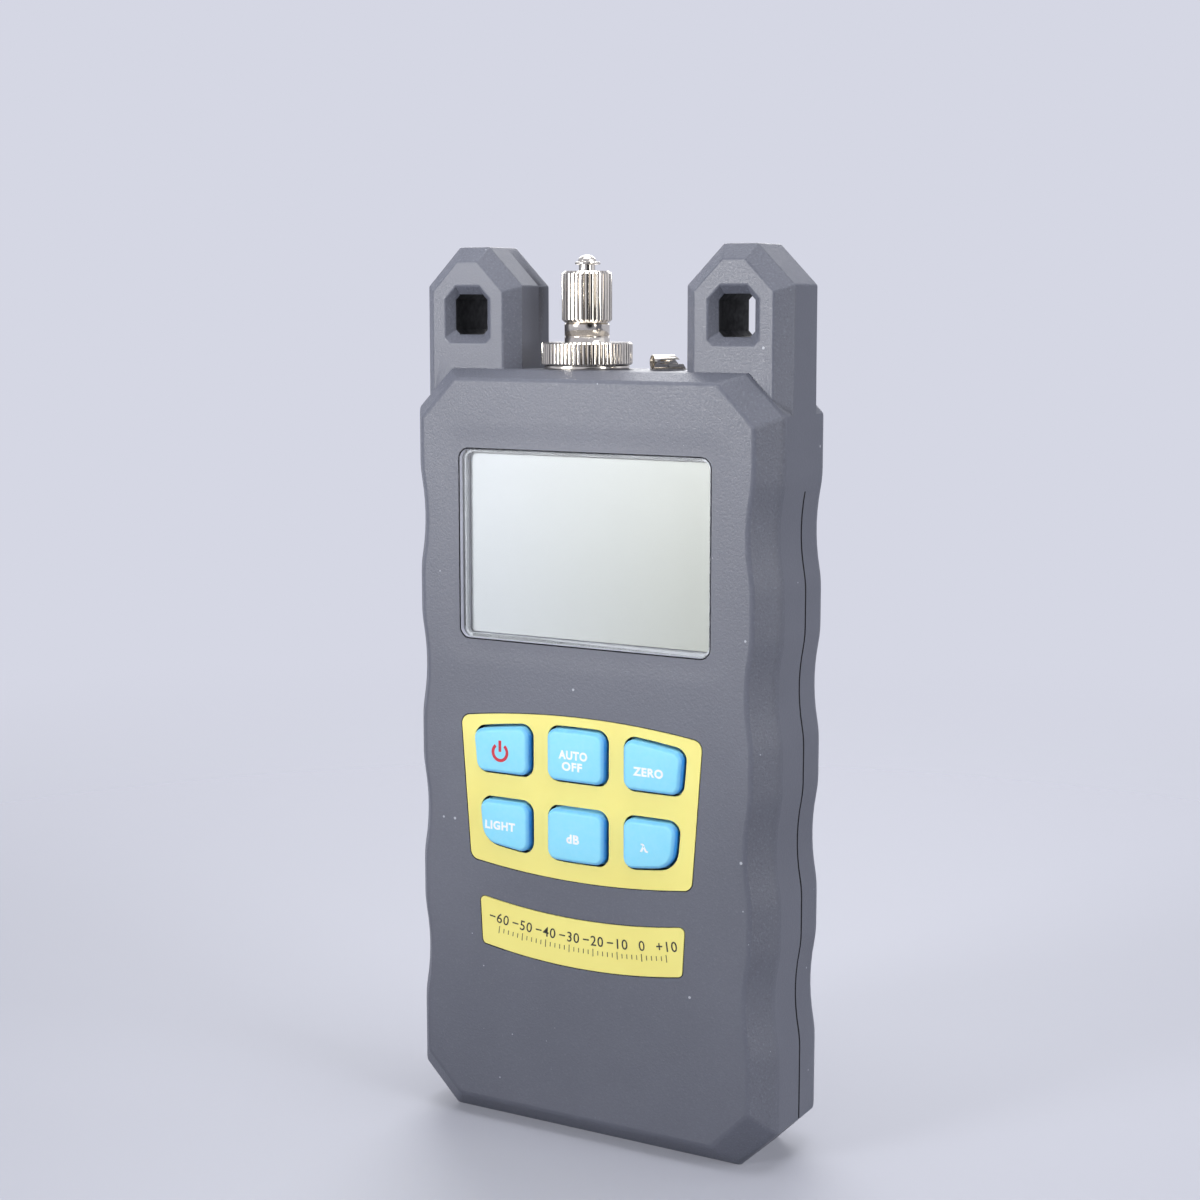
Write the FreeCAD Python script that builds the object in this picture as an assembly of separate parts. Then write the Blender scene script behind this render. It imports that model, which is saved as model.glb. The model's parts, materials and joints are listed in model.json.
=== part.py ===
import FreeCAD, Part
import math
import os

# Handheld optical power meter: a two-shell case with wavy grip sides and two strap horns, a display,
# six sprung keys, an optical port with a screwed dust cap, and a battery bay behind a hinged door.
# Millimetres. +Z is up, the front faces -Y, and the origin is under the middle of the case's base.

Vec = FreeCAD.Vector

# Case
case_width = 80.6
case_height = 151.4
case_depth = 26.7
wall = 2.2
corner_cut = 7.8
bevel_depth = 4.7
bevel_side = 3.8
bevel_top = 1.8
bevel_bottom = 4.5
parting_depth = 14.4
seam_gap = 0.35
seam_top_gap = 22.0
lip_height = 1.4
lip_clearance = 0.1
floor_gap = 0.2

# Grip waves down both sides
wave_count = 4
wave_foot = 18.65
wave_head = 14.75
wave_flat = 6.5
wave_depth = 1.07
crest_radius = 21.8

# Strap horns
horn_gap = 36.4
horn_rise = 23.6
horn_cut = 7.6
horn_setback = 5.56
horn_chamfer = 2.9
horn_root = 10.0
hole_width = 7.25
hole_height = 7.7
hole_base = 6.6
hole_flare = 1.7
hole_corner = 1.0
flare_corner = 2.5
hole_wall = 1.6

# Display
window_width = 55.9
window_height = 37.7
window_top_gap = 15.2
window_radius = 2.3
window_thick = 1.2
window_sunk = 0.1
window_ledge = 1.0
pane_gap = 0.25
dish_margin = 4.0
dish_depth = 0.2
dish_slope = 1.2
tape_thick = 0.15
holder_border = 1.6
lcd_thick = 1.8
backlight_thick = 2.0
zebra_width = 2.0

# Key panel
label_window_gap = 15.5
label_height = 28.7
label_shift = -0.6
label_top_width = 54.0
label_bottom_width = 49.8
label_top_rise = 2.0
label_bottom_fall = 1.8
label_radius = 1.9
label_thick = 0.3
label_gap = 0.2
key_inset_top = 2.3
key_inset_bottom = 4.1
key_inset_side = 3.55
key_middle_width = 12.75
key_column_gap = 4.25
key_row_gap = 5.6
key_row_rise = 15.4
key_radius = 2.0
key_outer_radius = 4.0
key_proud = 1.5
key_edge = 0.6
key_gap = 0.5
key_travel = 1.2
flange_margin = 0.9
flange_thick = 1.0
flange_gap = 0.2
post_radius = 3.2
mat_thick = 1.2
mat_margin = 0.6
mat_play = 0.4
mat_collar_wall = 0.8
mat_clearance = 0.5

# Name plate
plate_label_gap = 7.4
plate_shift = -0.25
plate_height = 9.75
plate_top_width = 46.3
plate_bottom_width = 45.2
plate_sag = 1.95
plate_radius = 1.0
plate_thick = 0.3

# Circuit board
board_thick = 1.6
board_edge = 0.2
board_gap = 0.3
board_low = 9.5
board_top_gap = 12.4
chip_size = 12.0
chip_thick = 1.6
chip_bay_gap = 6.6
shield_width = 20.0
shield_height = 14.0
shield_depth = 3.6
board_screw_gap = 0.4
board_screw_under_label = 4.8
board_screw_under_window = 7.0

# Screws
case_boss_radius = 3.0
case_boss_gap = 2.2
case_boss_low = 12.5
case_boss_top_gap = 12.0
screw_radius = 1.25
screw_head_radius = 2.3
screw_head_depth = 1.5
screw_gap = 0.25
case_screw_bite = 5.0
board_boss_radius = 2.0
board_screw_radius = 0.9
board_screw_head = 1.8
board_screw_bite = 3.4

# Optical port
port_x = -6.47
port_y = 0.0
bushing_radius = 5.0
bushing_flange_radius = 8.3
bushing_flange = 0.7
bushing_drop = 10.4
spigot_radius = 6.4
spigot_height = 2.5
port_bore_radius = 1.8
nut_width = 13.0
nut_height = 2.4
ring_radius = 8.9
ring_height = 4.4
ring_lip = 0.9
ring_teeth = 60
ring_tooth_depth = 0.3
running_gap = 0.05
foot_gap = 0.1
neck_radius = 4.4
neck_height = 3.7
neck_groove = 0.2
barrel_radius = 3.9
barrel_height = 6.6
ferrule_radius = 1.26
cap_radius = 4.9
cap_height = 9.9
cap_roof = 2.0
cap_teeth = 30
cap_tooth_depth = 0.35
cap_chamfer = 0.55
cap_boss_radius = 1.6
cap_boss_height = 1.2
cap_lift = 16.0
swivel_radius = 2.35
swivel_thick = 0.5
swivel_lug = 2.6
swivel_lug_radius = 1.3
swivel_eye_radius = 0.7
rivet_radius = 0.8
rivet_head_radius = 1.8
rivet_head_height = 1.3
diode_radius = 2.35
diode_height = 4.6
diode_flange_radius = 2.8
diode_flange = 0.6
diode_leg = 2.5
diode_leg_radius = 0.23
diode_leg_circle = 1.27

# Tether clip on the case's top
clip_x = 11.5
clip_turn = 50.0
clip_length = 6.4
clip_radius = 1.45
clip_wall = 0.3
clip_slot = 1.1
clip_pad_width = 2.6
clip_pin_radius = 0.6
clip_pin_head = 1.0
clip_pin_head_height = 0.4
clip_pin_bite = 1.8

# Battery bay, cells and door
cell_radius = 7.1
cell_length = 49.5
cell_nub = 1.0
cell_nub_radius = 2.6
cell_count = 3
cell_gap = 0.3
cell_play = 0.2
bay_low = 14.0
bay_wall = 1.0
spring_height = 5.1
contact_thick = 0.4
contact_width = 8.0
tail_width = 2.0
door_thick = 1.6
door_lap = 1.6
door_gap = 0.25
door_ledge = 1.2
door_barrel_out = 0.15
door_pin_radius = 0.6
door_pin_length = 1.6
door_swing_gap = 0.35
door_grip_ribs = 5
door_grip_pitch = 1.8

# Places that follow from the sizes above
front_y = -case_depth / 2
back_y = case_depth / 2
parting_y = front_y + parting_depth
inner_y = front_y + wall
half_width = case_width / 2
horn_width = half_width - horn_gap / 2
horn_x = half_width - horn_width / 2
horn_top = case_height + horn_rise
wave_pitch = (case_height - wave_foot - wave_head) / wave_count
wave_length = wave_pitch - wave_flat
wave_lowest = wave_foot + wave_pitch / 2

# Down the front: the window, the key panel and the name plate
window_low = case_height - window_top_gap - window_height
label_high = window_low - label_window_gap
label_low = label_high - label_height
key_row_level = label_low + key_row_rise
plate_high = label_low - plate_label_gap
plate_low = plate_high - plate_height

# Battery bay and its door, from the cells outwards
door_inner_y = back_y - door_thick
cell_pitch = 2 * cell_radius + cell_gap
cell_y = door_inner_y - cell_play - cell_radius
bay_half = (cell_count - 1) * cell_pitch / 2 + cell_radius + cell_play
bay_high = bay_low + 2 * contact_thick + spring_height + cell_length + cell_nub
bay_front_y = cell_y - cell_radius - cell_play
door_half = bay_half + bay_wall + door_lap
door_low = bay_low - bay_wall - door_lap
door_high = bay_high + bay_wall + door_lap
hinge_y = (back_y + door_inner_y) / 2 - door_barrel_out
hinge_barrel = back_y - hinge_y
hinge_z = door_high - hinge_barrel

# The circuit board lies in front of the bay, and its screws pass beside it.
board_back_y = bay_front_y - bay_wall - board_gap
board_y = board_back_y - board_thick
board_screw_x = bay_half + bay_wall + board_screw_head + board_screw_gap
board_half = board_screw_x + board_screw_head + board_edge
chip_level = bay_high + bay_wall + chip_bay_gap + chip_size / 2

# Screw places
case_boss_x = door_half + door_pin_length + case_boss_radius + case_boss_gap
board_screw_low = label_low - board_screw_under_label
board_screw_high = window_low - board_screw_under_window
case_screw_high = case_height - case_boss_top_gap
case_screw_spots = [(sx * case_boss_x, z) for sx in (-1, 1) for z in (case_boss_low, case_screw_high)]
board_screw_spots = [(sx * board_screw_x, z) for sx in (-1, 1) for z in (board_screw_low, board_screw_high)]
head_seat_y = back_y - screw_head_depth - wall


def save(name, shape):
    shape.removeSplitter().exportStep("parts/" + name + ".step")


# An outline in the plane y is a list of steps (start, middle or None, end), each a pair of X and Z.
def outline_wire(steps, y):
    edges = []
    for start, middle, end in steps:
        a = Vec(start[0], y, start[1])
        b = Vec(end[0], y, end[1])
        if middle is None:
            edges.append(Part.LineSegment(a, b).toShape())
        else:
            edges.append(Part.Arc(a, Vec(middle[0], y, middle[1]), b).toShape())
    return Part.Wire(edges)


def closed_steps(points, rises=None):
    steps = []
    for i, start in enumerate(points):
        end = points[(i + 1) % len(points)]
        rise = rises[i] if rises else 0
        middle = None
        if abs(rise) > 1e-3:
            middle = ((start[0] + end[0]) / 2, (start[1] + end[1]) / 2 + rise)
        steps.append((start, middle, end))
    return steps


def prism(steps, y0, y1):
    return Part.Face(outline_wire(steps, y0)).extrude(Vec(0, y1 - y0, 0))


def loft(sections):
    return Part.makeLoft([outline_wire(steps, y) for steps, y in sections], True, True)


def box(x0, x1, y0, y1, z0, z1):
    return Part.makeBox(x1 - x0, y1 - y0, z1 - z0, Vec(x0, y0, z0))


def rectangle(half, low, high):
    return [(-half, low), (half, low), (half, high), (-half, high)]


# Distance in X and Z from an edge's first end to a point.
def along(edge, x, z):
    end = edge.Vertexes[0]
    return math.hypot(end.X - x, end.Z - z)


# The edges that run straight through a plate, from its front to its back.
def upright_edges(solid):
    return [e for e in solid.Edges if len(e.Vertexes) == 2 and along(e, e.Vertexes[1].X, e.Vertexes[1].Z) < 1e-4]


def upright_rounded(solid, radius):
    return solid.makeFillet(radius, upright_edges(solid))


def rounded_plate(half, low, high, radius, y0, y1):
    return upright_rounded(prism(closed_steps(rectangle(half, low, high)), y0, y1), radius)


def rod_y(x, z, radius, y0, y1):
    return Part.makeCylinder(radius, y1 - y0, Vec(x, y0, z), Vec(0, 1, 0))


def rod_z(x, y, radius, z0, z1):
    return Part.makeCylinder(radius, z1 - z0, Vec(x, y, z0))


# A turned piece: pairs of radius and height, closed on the axis through x, y.
def turned(profile, x, y):
    points = [Vec(x + r, y, z) for r, z in profile]
    face = Part.Face(Part.makePolygon(points + [points[0]]))
    return face.revolve(Vec(x, y, 0), Vec(0, 0, 1), 360)


# A straight knurl: V teeth round a cylinder, cut back at both ends by the chamfer.
def knurled(x, y, radius, tooth, teeth, low, high, chamfer):
    points = []
    for i in range(2 * teeth):
        r = radius if i % 2 == 0 else radius - tooth
        turn = math.pi * i / teeth
        points.append(Vec(x + r * math.cos(turn), y + r * math.sin(turn), low))
    star = Part.Face(Part.makePolygon(points + [points[0]])).extrude(Vec(0, 0, high - low))
    limit = turned([(0, low), (radius - chamfer, low), (radius, low + chamfer),
                    (radius, high - chamfer), (radius - chamfer, high), (0, high)], x, y)
    return star.common(limit)


# Case outline: straight base and top, cut corners, and a wave train up each side.
def case_steps(half, low, high, depth=wave_depth):
    reach = wave_length / 2
    turn = 2 * math.atan(depth / reach)
    crest = crest_radius * math.sin(turn)
    crest_in = crest_radius * (1 - math.cos(turn))
    mid_in = crest_radius * (1 - math.cos(turn / 2))
    mid_up = crest_radius * math.sin(turn / 2)
    side = []
    last = (half, low + corner_cut)
    for k in range(wave_count):
        z = wave_lowest + k * wave_pitch
        stations = [(half, z - reach), (half - crest_in, z - reach + crest),
                    (half - crest_in, z + reach - crest), (half, z + reach)]
        side.append((last, None, stations[0]))
        side.append((stations[0], (half - mid_in, z - reach + mid_up), stations[1]))
        side.append((stations[1], (half - depth, z), stations[2]))
        side.append((stations[2], (half - mid_in, z + reach - mid_up), stations[3]))
        last = stations[3]
    side.append((last, None, (half, high - corner_cut)))
    flat = half - corner_cut
    steps = [((-flat, low), None, (flat, low)), ((flat, low), None, (half, low + corner_cut))]
    steps += side
    steps.append(((half, high - corner_cut), None, (flat, high)))
    steps.append(((flat, high), None, (-flat, high)))
    steps.append(((-flat, high), None, (-half, high - corner_cut)))
    for start, middle, end in reversed(side):
        flipped = None if middle is None else (-middle[0], middle[1])
        steps.append(((-end[0], end[1]), flipped, (-start[0], start[1])))
    steps.append(((-half, low + corner_cut), None, (-flat, low)))
    return steps


def case_form(inset):
    face = case_steps(half_width - bevel_side - inset / 2, bevel_bottom + inset / 2, case_height - bevel_top - inset)
    side = case_steps(half_width - inset, inset, case_height - inset)
    return loft([(face, front_y + inset), (side, front_y + bevel_depth),
                 (side, back_y - bevel_depth), (face, back_y - inset)])


# Horn outline, seen from the front, for the horn at +X (side 1) or -X (side -1).
def horn_steps(side, inset, low):
    half = horn_width / 2 - inset
    cut = horn_cut - inset * (2 - math.sqrt(2))
    top = horn_top - inset
    points = [(-half, low), (half, low), (half, top - cut), (half - cut, top), (-half + cut, top), (-half, top - cut)]
    return closed_steps([(side * horn_x + x, z) for x, z in points])


def horn_form(side):
    low = case_height - horn_root
    near = front_y + horn_setback
    far = back_y - horn_setback
    return loft([(horn_steps(side, horn_chamfer, low), near), (horn_steps(side, 0, low), near + horn_chamfer),
                 (horn_steps(side, 0, low), far - horn_chamfer), (horn_steps(side, horn_chamfer, low), far)])


def hole_steps(side, grow, corner):
    half = hole_width / 2 + grow
    low = case_height + hole_base - grow
    high = case_height + hole_base + hole_height + grow
    foot = hole_corner
    points = [(-half + foot, low), (half - foot, low), (half, low + foot), (half, high - corner),
              (half - corner, high), (-half + corner, high), (-half, high - corner), (-half, low + foot)]
    return closed_steps([(side * horn_x + x, z) for x, z in points])


# The strap hole flares out at both faces of the horn.
def strap_hole(side):
    near = front_y + horn_setback
    far = back_y - horn_setback
    plain = hole_steps(side, 0, hole_corner)
    flared = hole_steps(side, hole_flare, flare_corner)
    return loft([(flared, near), (plain, near + hole_flare), (plain, far - hole_flare), (flared, far)])


def horn_pocket(side, y0, y1):
    low = case_height + hole_base - hole_flare - hole_wall
    room = prism(horn_steps(side, wall, low), y0, y1)
    return room.cut(prism(hole_steps(side, hole_wall, hole_corner), y0, y1))


# The groove along the parting line runs round the foot and up both sides, and stops below the shoulders.
def seam_cut():
    end_y = parting_y + seam_gap
    full = box(-half_width - 1, half_width + 1, parting_y, end_y, -1, case_height - seam_top_gap)
    return full.cut(prism(case_steps(half_width - seam_gap, seam_gap, case_height), parting_y, end_y))


def lip_ring(outer, y0, y1):
    ring = prism(case_steps(half_width - outer, outer, case_height - outer), y0, y1)
    inner = wall + 0.01
    return ring.cut(prism(case_steps(half_width - inner, inner, case_height - inner), y0 - 1, y1 + 1))


# Window
def window_plate(shrink, y0, y1):
    return rounded_plate(window_width / 2 - shrink, window_low + shrink, window_low + window_height - shrink,
                         max(window_radius - shrink, 0.4), y0, y1)


window_mid = window_low + window_height / 2
pane_y = front_y + window_sunk
pane_back_y = pane_y + window_thick
holder_y = inner_y + floor_gap
holder_back_y = board_y - floor_gap
holder_half = window_width / 2 - window_ledge + holder_border
holder_low = window_low + window_ledge - holder_border
holder_high = window_low + window_height - window_ledge + holder_border
lcd_half = window_width / 2 - window_ledge
lcd_low = window_low + window_ledge
lcd_high = window_low + window_height - window_ledge


def window_dish():
    rim = dish_margin + dish_slope
    wide = closed_steps(rectangle(window_width / 2 + rim, window_low - rim, window_low + window_height + rim))
    deep = closed_steps(rectangle(window_width / 2 + dish_margin, window_low - dish_margin,
                                  window_low + window_height + dish_margin))
    return loft([(wide, front_y), (deep, front_y + dish_depth)])


# Key panel label, and the keys that follow its curved edges
def label_solid(grow, y0, y1):
    top = label_top_width / 2 + grow
    bottom = label_bottom_width / 2 + grow
    points = [(-bottom, label_low - grow), (bottom, label_low - grow), (top, label_high + grow), (-top, label_high + grow)]
    rises = [-label_bottom_fall, 0, label_top_rise, 0]
    label = upright_rounded(prism(closed_steps(points, rises), y0, y1), label_radius + grow)
    return label.translated(Vec(label_shift, 0, 0))


def plate_solid(grow, y0, y1):
    top = plate_top_width / 2 + grow
    bottom = plate_bottom_width / 2 + grow
    low = plate_low - grow
    high = plate_high + grow
    points = [(-bottom, low), (bottom, low), (top, high), (-top, high)]
    plate = upright_rounded(prism(closed_steps(points, [-plate_sag, 0, -plate_sag, 0]), y0, y1), plate_radius + grow)
    return plate.translated(Vec(plate_shift, 0, 0))


key_nodes = [("power_key", -1, 1), ("auto_off_key", 0, 1), ("zero_key", 1, 1),
             ("light_key", -1, 0), ("decibel_key", 0, 0), ("wavelength_key", 1, 0)]


def key_column(column):
    middle = key_middle_width / 2
    if column == 0:
        return -middle, middle
    inner = middle + key_column_gap
    outer = label_top_width / 2
    return (inner, outer) if column > 0 else (-outer, -inner)


def key_block(column, row, grow, y0, y1):
    top = label_top_width / 2 - key_inset_side + grow
    bottom = label_bottom_width / 2 - key_inset_side + grow
    low = label_low + key_inset_bottom - grow
    high = label_high - key_inset_top + grow
    points = [(-bottom, low), (bottom, low), (top, high), (-top, high)]
    field = prism(closed_steps(points, [-label_bottom_fall, 0, label_top_rise, 0]), y0, y1)
    left, right = key_column(column)
    left -= grow
    right += grow
    if row:
        z0 = key_row_level + key_row_gap / 2 - grow
        z1 = label_high + 10
    else:
        z0 = label_low - 10
        z1 = key_row_level - key_row_gap / 2 + grow
    block = field.common(box(left, right, y0, y1, z0, z1))
    corners = upright_edges(block)
    if column and not row:
        far = max(corners, key=lambda e: abs(e.Vertexes[0].X) + abs(e.Vertexes[0].Z - key_row_level)).Vertexes[0]
        block = block.makeFillet(key_outer_radius + grow, [e for e in corners if along(e, far.X, far.Z) < 1e-3])
        corners = [e for e in upright_edges(block) if along(e, far.X, far.Z) > 2 * key_outer_radius]
    return block.makeFillet(key_radius + grow, corners).translated(Vec(label_shift, 0, 0))


# Where a key's post stands: the middle of its column and row.
def key_centre(column, row):
    left, right = key_column(column)
    if column:
        inner = min(abs(left), abs(right))
        outer = (label_top_width + label_bottom_width) / 4 - key_inset_side
        x = column * (inner + outer) / 2
    else:
        x = 0
    top_row = (key_row_level + key_row_gap / 2 + label_high - key_inset_top) / 2
    low_row = (key_row_level - key_row_gap / 2 + label_low + key_inset_bottom) / 2
    return x + label_shift, top_row if row else low_row


def door_opening(gap, y0, y1):
    return box(-door_half - gap, door_half + gap, y0, y1, door_low - gap, door_high + door_swing_gap)


clip_z = case_height + foot_gap / 2
clip_pin_foot = case_height - clip_pin_bite


def port_rod(radius, z0, z1):
    return rod_z(port_x, port_y, radius, z0, z1)


def front_shell():
    shell = case_form(0)
    for side in (-1, 1):
        shell = shell.fuse(horn_form(side))
    shell = shell.cut(case_form(wall))
    shell = shell.common(box(-case_width, case_width, front_y - 1, parting_y, -1, horn_top + 1))
    for side in (-1, 1):
        shell = shell.cut(strap_hole(side))
        shell = shell.cut(horn_pocket(side, front_y + horn_setback + wall, parting_y))
    # display opening with a ledge for the pane, in a shallow dish
    shell = shell.cut(window_dish())
    shell = shell.cut(window_plate(0, front_y - 1, pane_back_y + tape_thick))
    shell = shell.cut(window_plate(window_ledge, front_y, inner_y + 1))
    # key panel: label recess and the six key holes
    shell = shell.cut(label_solid(label_gap, front_y - 1, front_y + label_thick))
    for name, column, row in key_nodes:
        shell = shell.cut(key_block(column, row, key_gap, front_y - 1, inner_y + 1))
    shell = shell.cut(plate_solid(label_gap, front_y - 1, front_y + plate_thick))
    # bosses for the case screws and the board screws, with gussets to the wall
    for x, z in case_screw_spots:
        boss = rod_y(x, z, case_boss_radius, inner_y - floor_gap, parting_y)
        outward = math.copysign(half_width - wall / 2, x)
        gusset = box(min(x, outward), max(x, outward), inner_y + 1, parting_y - 1, z - 0.6, z + 0.6)
        shell = shell.fuse(boss.fuse(gusset).common(case_form(wall / 2)))
    for x, z in board_screw_spots:
        shell = shell.fuse(rod_y(x, z, board_boss_radius, inner_y - floor_gap, board_y))
    for x, z in case_screw_spots:
        shell = shell.cut(rod_y(x, z, screw_radius, parting_y - case_screw_bite - 1, parting_y + 1))
    for x, z in board_screw_spots:
        shell = shell.cut(rod_y(x, z, board_screw_radius, board_y - board_screw_bite - 0.6, board_y + 1))
    # lip that locates the rear shell, open at the port
    lip = lip_ring(wall / 2 + lip_clearance, parting_y, parting_y + lip_height)
    lip = lip.cut(box(port_x - nut_width, port_x + nut_width, parting_y - 1, back_y, case_height - wall * 3, horn_top))
    shell = shell.fuse(lip)
    shell = shell.cut(port_rod(bushing_radius + foot_gap, case_height - 3 * wall, case_height + 1))
    return shell.cut(rod_z(clip_x, port_y, clip_pin_radius, clip_pin_foot, case_height + 1))


def rear_shell():
    shell = case_form(0)
    for side in (-1, 1):
        shell = shell.fuse(horn_form(side))
    shell = shell.cut(case_form(wall))
    shell = shell.common(box(-case_width, case_width, parting_y, back_y + 1, -1, horn_top + 1))
    for side in (-1, 1):
        shell = shell.cut(strap_hole(side))
        shell = shell.cut(horn_pocket(side, parting_y, back_y - horn_setback - wall))
    shell = shell.cut(lip_ring(wall / 2, parting_y - 1, parting_y + lip_height + lip_clearance))
    shell = shell.cut(seam_cut())
    # battery bay: a tray open to the back, with the door's seat round it
    seat = box(-door_half - wall, door_half + wall, door_inner_y - door_ledge, back_y - wall / 2,
               door_low - wall, door_high + wall)
    shell = shell.fuse(seat)
    tray = box(-bay_half - bay_wall, bay_half + bay_wall, bay_front_y - bay_wall, back_y - wall / 2,
               bay_low - bay_wall, bay_high + bay_wall)
    shell = shell.fuse(tray)
    shell = shell.cut(box(-bay_half, bay_half, bay_front_y, back_y + 1, bay_low, bay_high))
    shell = shell.cut(door_opening(door_gap, door_inner_y, back_y + 1))
    # hinge barrel room and the two pin bores
    barrel = Part.makeCylinder(hinge_barrel + door_gap, 2 * (door_half + door_gap),
                               Vec(-door_half - door_gap, hinge_y, hinge_z), Vec(1, 0, 0))
    shell = shell.cut(barrel)
    reach = door_half + door_pin_length + door_gap
    bore = Part.makeCylinder(door_pin_radius + running_gap, 2 * reach, Vec(-reach, hinge_y, hinge_z), Vec(1, 0, 0))
    shell = shell.cut(bore)
    # finger notch at the foot of the door
    notch = rod_z(0, back_y + 5.5, 8.0, door_low - 5, door_low)
    shell = shell.cut(notch.common(box(-10, 10, back_y - 1.4, back_y + 1, door_low - 4, door_low)))
    # slots for the contacts' tails
    for z in (bay_low, bay_high - contact_thick):
        for x in (-cell_pitch, cell_pitch):
            half = tail_width / 2 + screw_gap
            shell = shell.cut(box(x - half, x + half, bay_front_y - bay_wall - 1, bay_front_y + 0.5,
                                  z - 0.1, z + contact_thick + 0.1))
    # screw bosses
    for x, z in case_screw_spots:
        boss = rod_y(x, z, case_boss_radius, parting_y + floor_gap, back_y - wall / 2)
        shell = shell.fuse(boss.common(case_form(wall / 2)))
    for x, z in case_screw_spots:
        shell = shell.cut(rod_y(x, z, screw_radius + screw_gap, parting_y - 1, back_y + 1))
        shell = shell.cut(rod_y(x, z, screw_head_radius + screw_gap, head_seat_y, back_y + 1))
    shell = shell.cut(port_rod(bushing_radius + foot_gap, case_height - 3 * wall, case_height + 1))
    return shell


# Keys: a soft-edged cap, a flange that holds it behind the front wall, and a post through the mat.
def key(column, row):
    cap_y = front_y - key_proud
    flange_y = inner_y + flange_gap
    cap = key_block(column, row, 0, cap_y, flange_y + flange_thick)
    rim = [e for e in cap.Edges if all(abs(v.Y - cap_y) < 1e-4 for v in e.Vertexes)]
    cap = cap.makeChamfer(key_edge, rim)
    flange = key_block(column, row, key_gap + flange_margin, flange_y, flange_y + flange_thick)
    x, z = key_centre(column, row)
    post_end = board_y - key_travel - flange_gap
    return cap.fuse(flange).fuse(rod_y(x, z, post_radius, flange_y, post_end))


def keypad_mat():
    mat = label_solid(-mat_margin, board_y - mat_thick, board_y)
    collar_y = inner_y + flange_gap + flange_thick + key_travel + mat_play
    places = [key_centre(column, row) for name, column, row in key_nodes]
    for x, z in places:
        mat = mat.fuse(rod_y(x, z, post_radius + mat_clearance + mat_collar_wall, collar_y, board_y))
    for x, z in places:
        mat = mat.cut(rod_y(x, z, post_radius + mat_clearance, collar_y - 1, board_y + 1))
    return mat


def keypad_overlay():
    label = label_solid(0, front_y, front_y + label_thick)
    for name, column, row in key_nodes:
        label = label.cut(key_block(column, row, key_gap, front_y - 1, inner_y))
    return label


# Display stack behind the window
def lcd_holder():
    holder = box(-holder_half, holder_half, holder_y, holder_back_y, holder_low, holder_high)
    holder = holder.cut(box(-lcd_half, lcd_half, holder_y - 1, holder_y + lcd_thick + 2 * floor_gap, lcd_low, lcd_high))
    holder = holder.cut(box(-lcd_half + 1, lcd_half - 1, holder_y, holder_back_y + 1, lcd_low + 1, lcd_high - 1))
    zebra_room = box(-lcd_half + 2, lcd_half - 2, holder_y + lcd_thick, holder_back_y + 1,
                     lcd_low + 1, lcd_low + 1 + zebra_width)
    return holder.cut(zebra_room)


def lcd_glass():
    y0 = holder_y + floor_gap
    return box(-lcd_half + floor_gap, lcd_half - floor_gap, y0, y0 + lcd_thick,
               lcd_low + floor_gap, lcd_high - floor_gap)


def lcd_connector():
    y0 = holder_y + floor_gap + lcd_thick
    return box(-lcd_half + 3, lcd_half - 3, y0, board_y, lcd_low + 1.2, lcd_low + 0.8 + zebra_width)


def backlight_panel():
    y0 = holder_y + lcd_thick + 2 * floor_gap
    low = lcd_low + 1.4 + zebra_width
    return box(-lcd_half + 1.4, lcd_half - 1.4, y0, y0 + backlight_thick, low, lcd_high - 1.4)


def circuit_board():
    top = case_height - board_top_gap
    board = box(-board_half, board_half, board_y, board_back_y, board_low, top)
    for x, z in case_screw_spots:
        board = board.cut(rod_y(x, z, case_boss_radius + screw_gap + 0.3, board_y - 1, board_back_y + 1))
    for x, z in board_screw_spots:
        board = board.cut(rod_y(x, z, board_screw_radius + screw_gap, board_y - 1, board_back_y + 1))
    return board


def processor_chip():
    half = chip_size / 2
    chip = box(-half, half, board_back_y, board_back_y + chip_thick, chip_level - half, chip_level + half)
    return chip.makeChamfer(0.3, [e for e in chip.Edges if all(v.Y > board_back_y + 1 for v in e.Vertexes)])


def amplifier_shield():
    z1 = foot_z - bushing_drop - diode_height - diode_flange - diode_leg - 1.5
    z0 = z1 - shield_height
    x0 = port_x - shield_width / 2
    x1 = port_x + shield_width / 2
    outer = box(x0, x1, board_back_y, board_back_y + shield_depth, z0, z1)
    return outer.cut(box(x0 + 0.3, x1 - 0.3, board_back_y - 1, board_back_y + shield_depth - 0.3, z0 + 0.3, z1 - 0.3))


# Pan-head screws along Y, driven towards the front.
def screw(x, z, radius, head_radius, head, seat_y, tip_y):
    pan = rod_y(x, z, head_radius, seat_y, seat_y + head)
    pan = pan.makeChamfer(head * 0.3, [e for e in pan.Edges if all(v.Y > seat_y + head / 2 for v in e.Vertexes)])
    pan = pan.fuse(rod_y(x, z, radius, tip_y, seat_y))
    arm = head_radius * 0.6
    for size in ((arm, 0.3), (0.3, arm)):
        pan = pan.cut(box(x - size[0], x + size[0], seat_y + head * 0.45, seat_y + head + 1, z - size[1], z + size[1]))
    return pan


def case_screws():
    tip = parting_y - case_screw_bite
    return Part.makeCompound([screw(x, z, screw_radius, screw_head_radius, screw_head_depth, head_seat_y, tip)
                              for x, z in case_screw_spots])


def board_screws():
    tip = board_y - board_screw_bite
    return Part.makeCompound([screw(x, z, board_screw_radius, board_screw_head, 1.1, board_back_y, tip)
                              for x, z in board_screw_spots])


# Optical port, from the photodiode up to the cap
foot_z = case_height
spigot_z = foot_z + bushing_flange
adapter_z = spigot_z + spigot_height
adapter_flange = 0.95
ring_z = spigot_z + foot_gap
ring_top = ring_z + ring_height
neck_top = ring_top + neck_height
cap_z = neck_top + foot_gap / 2
cap_top = cap_z + cap_height


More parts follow.
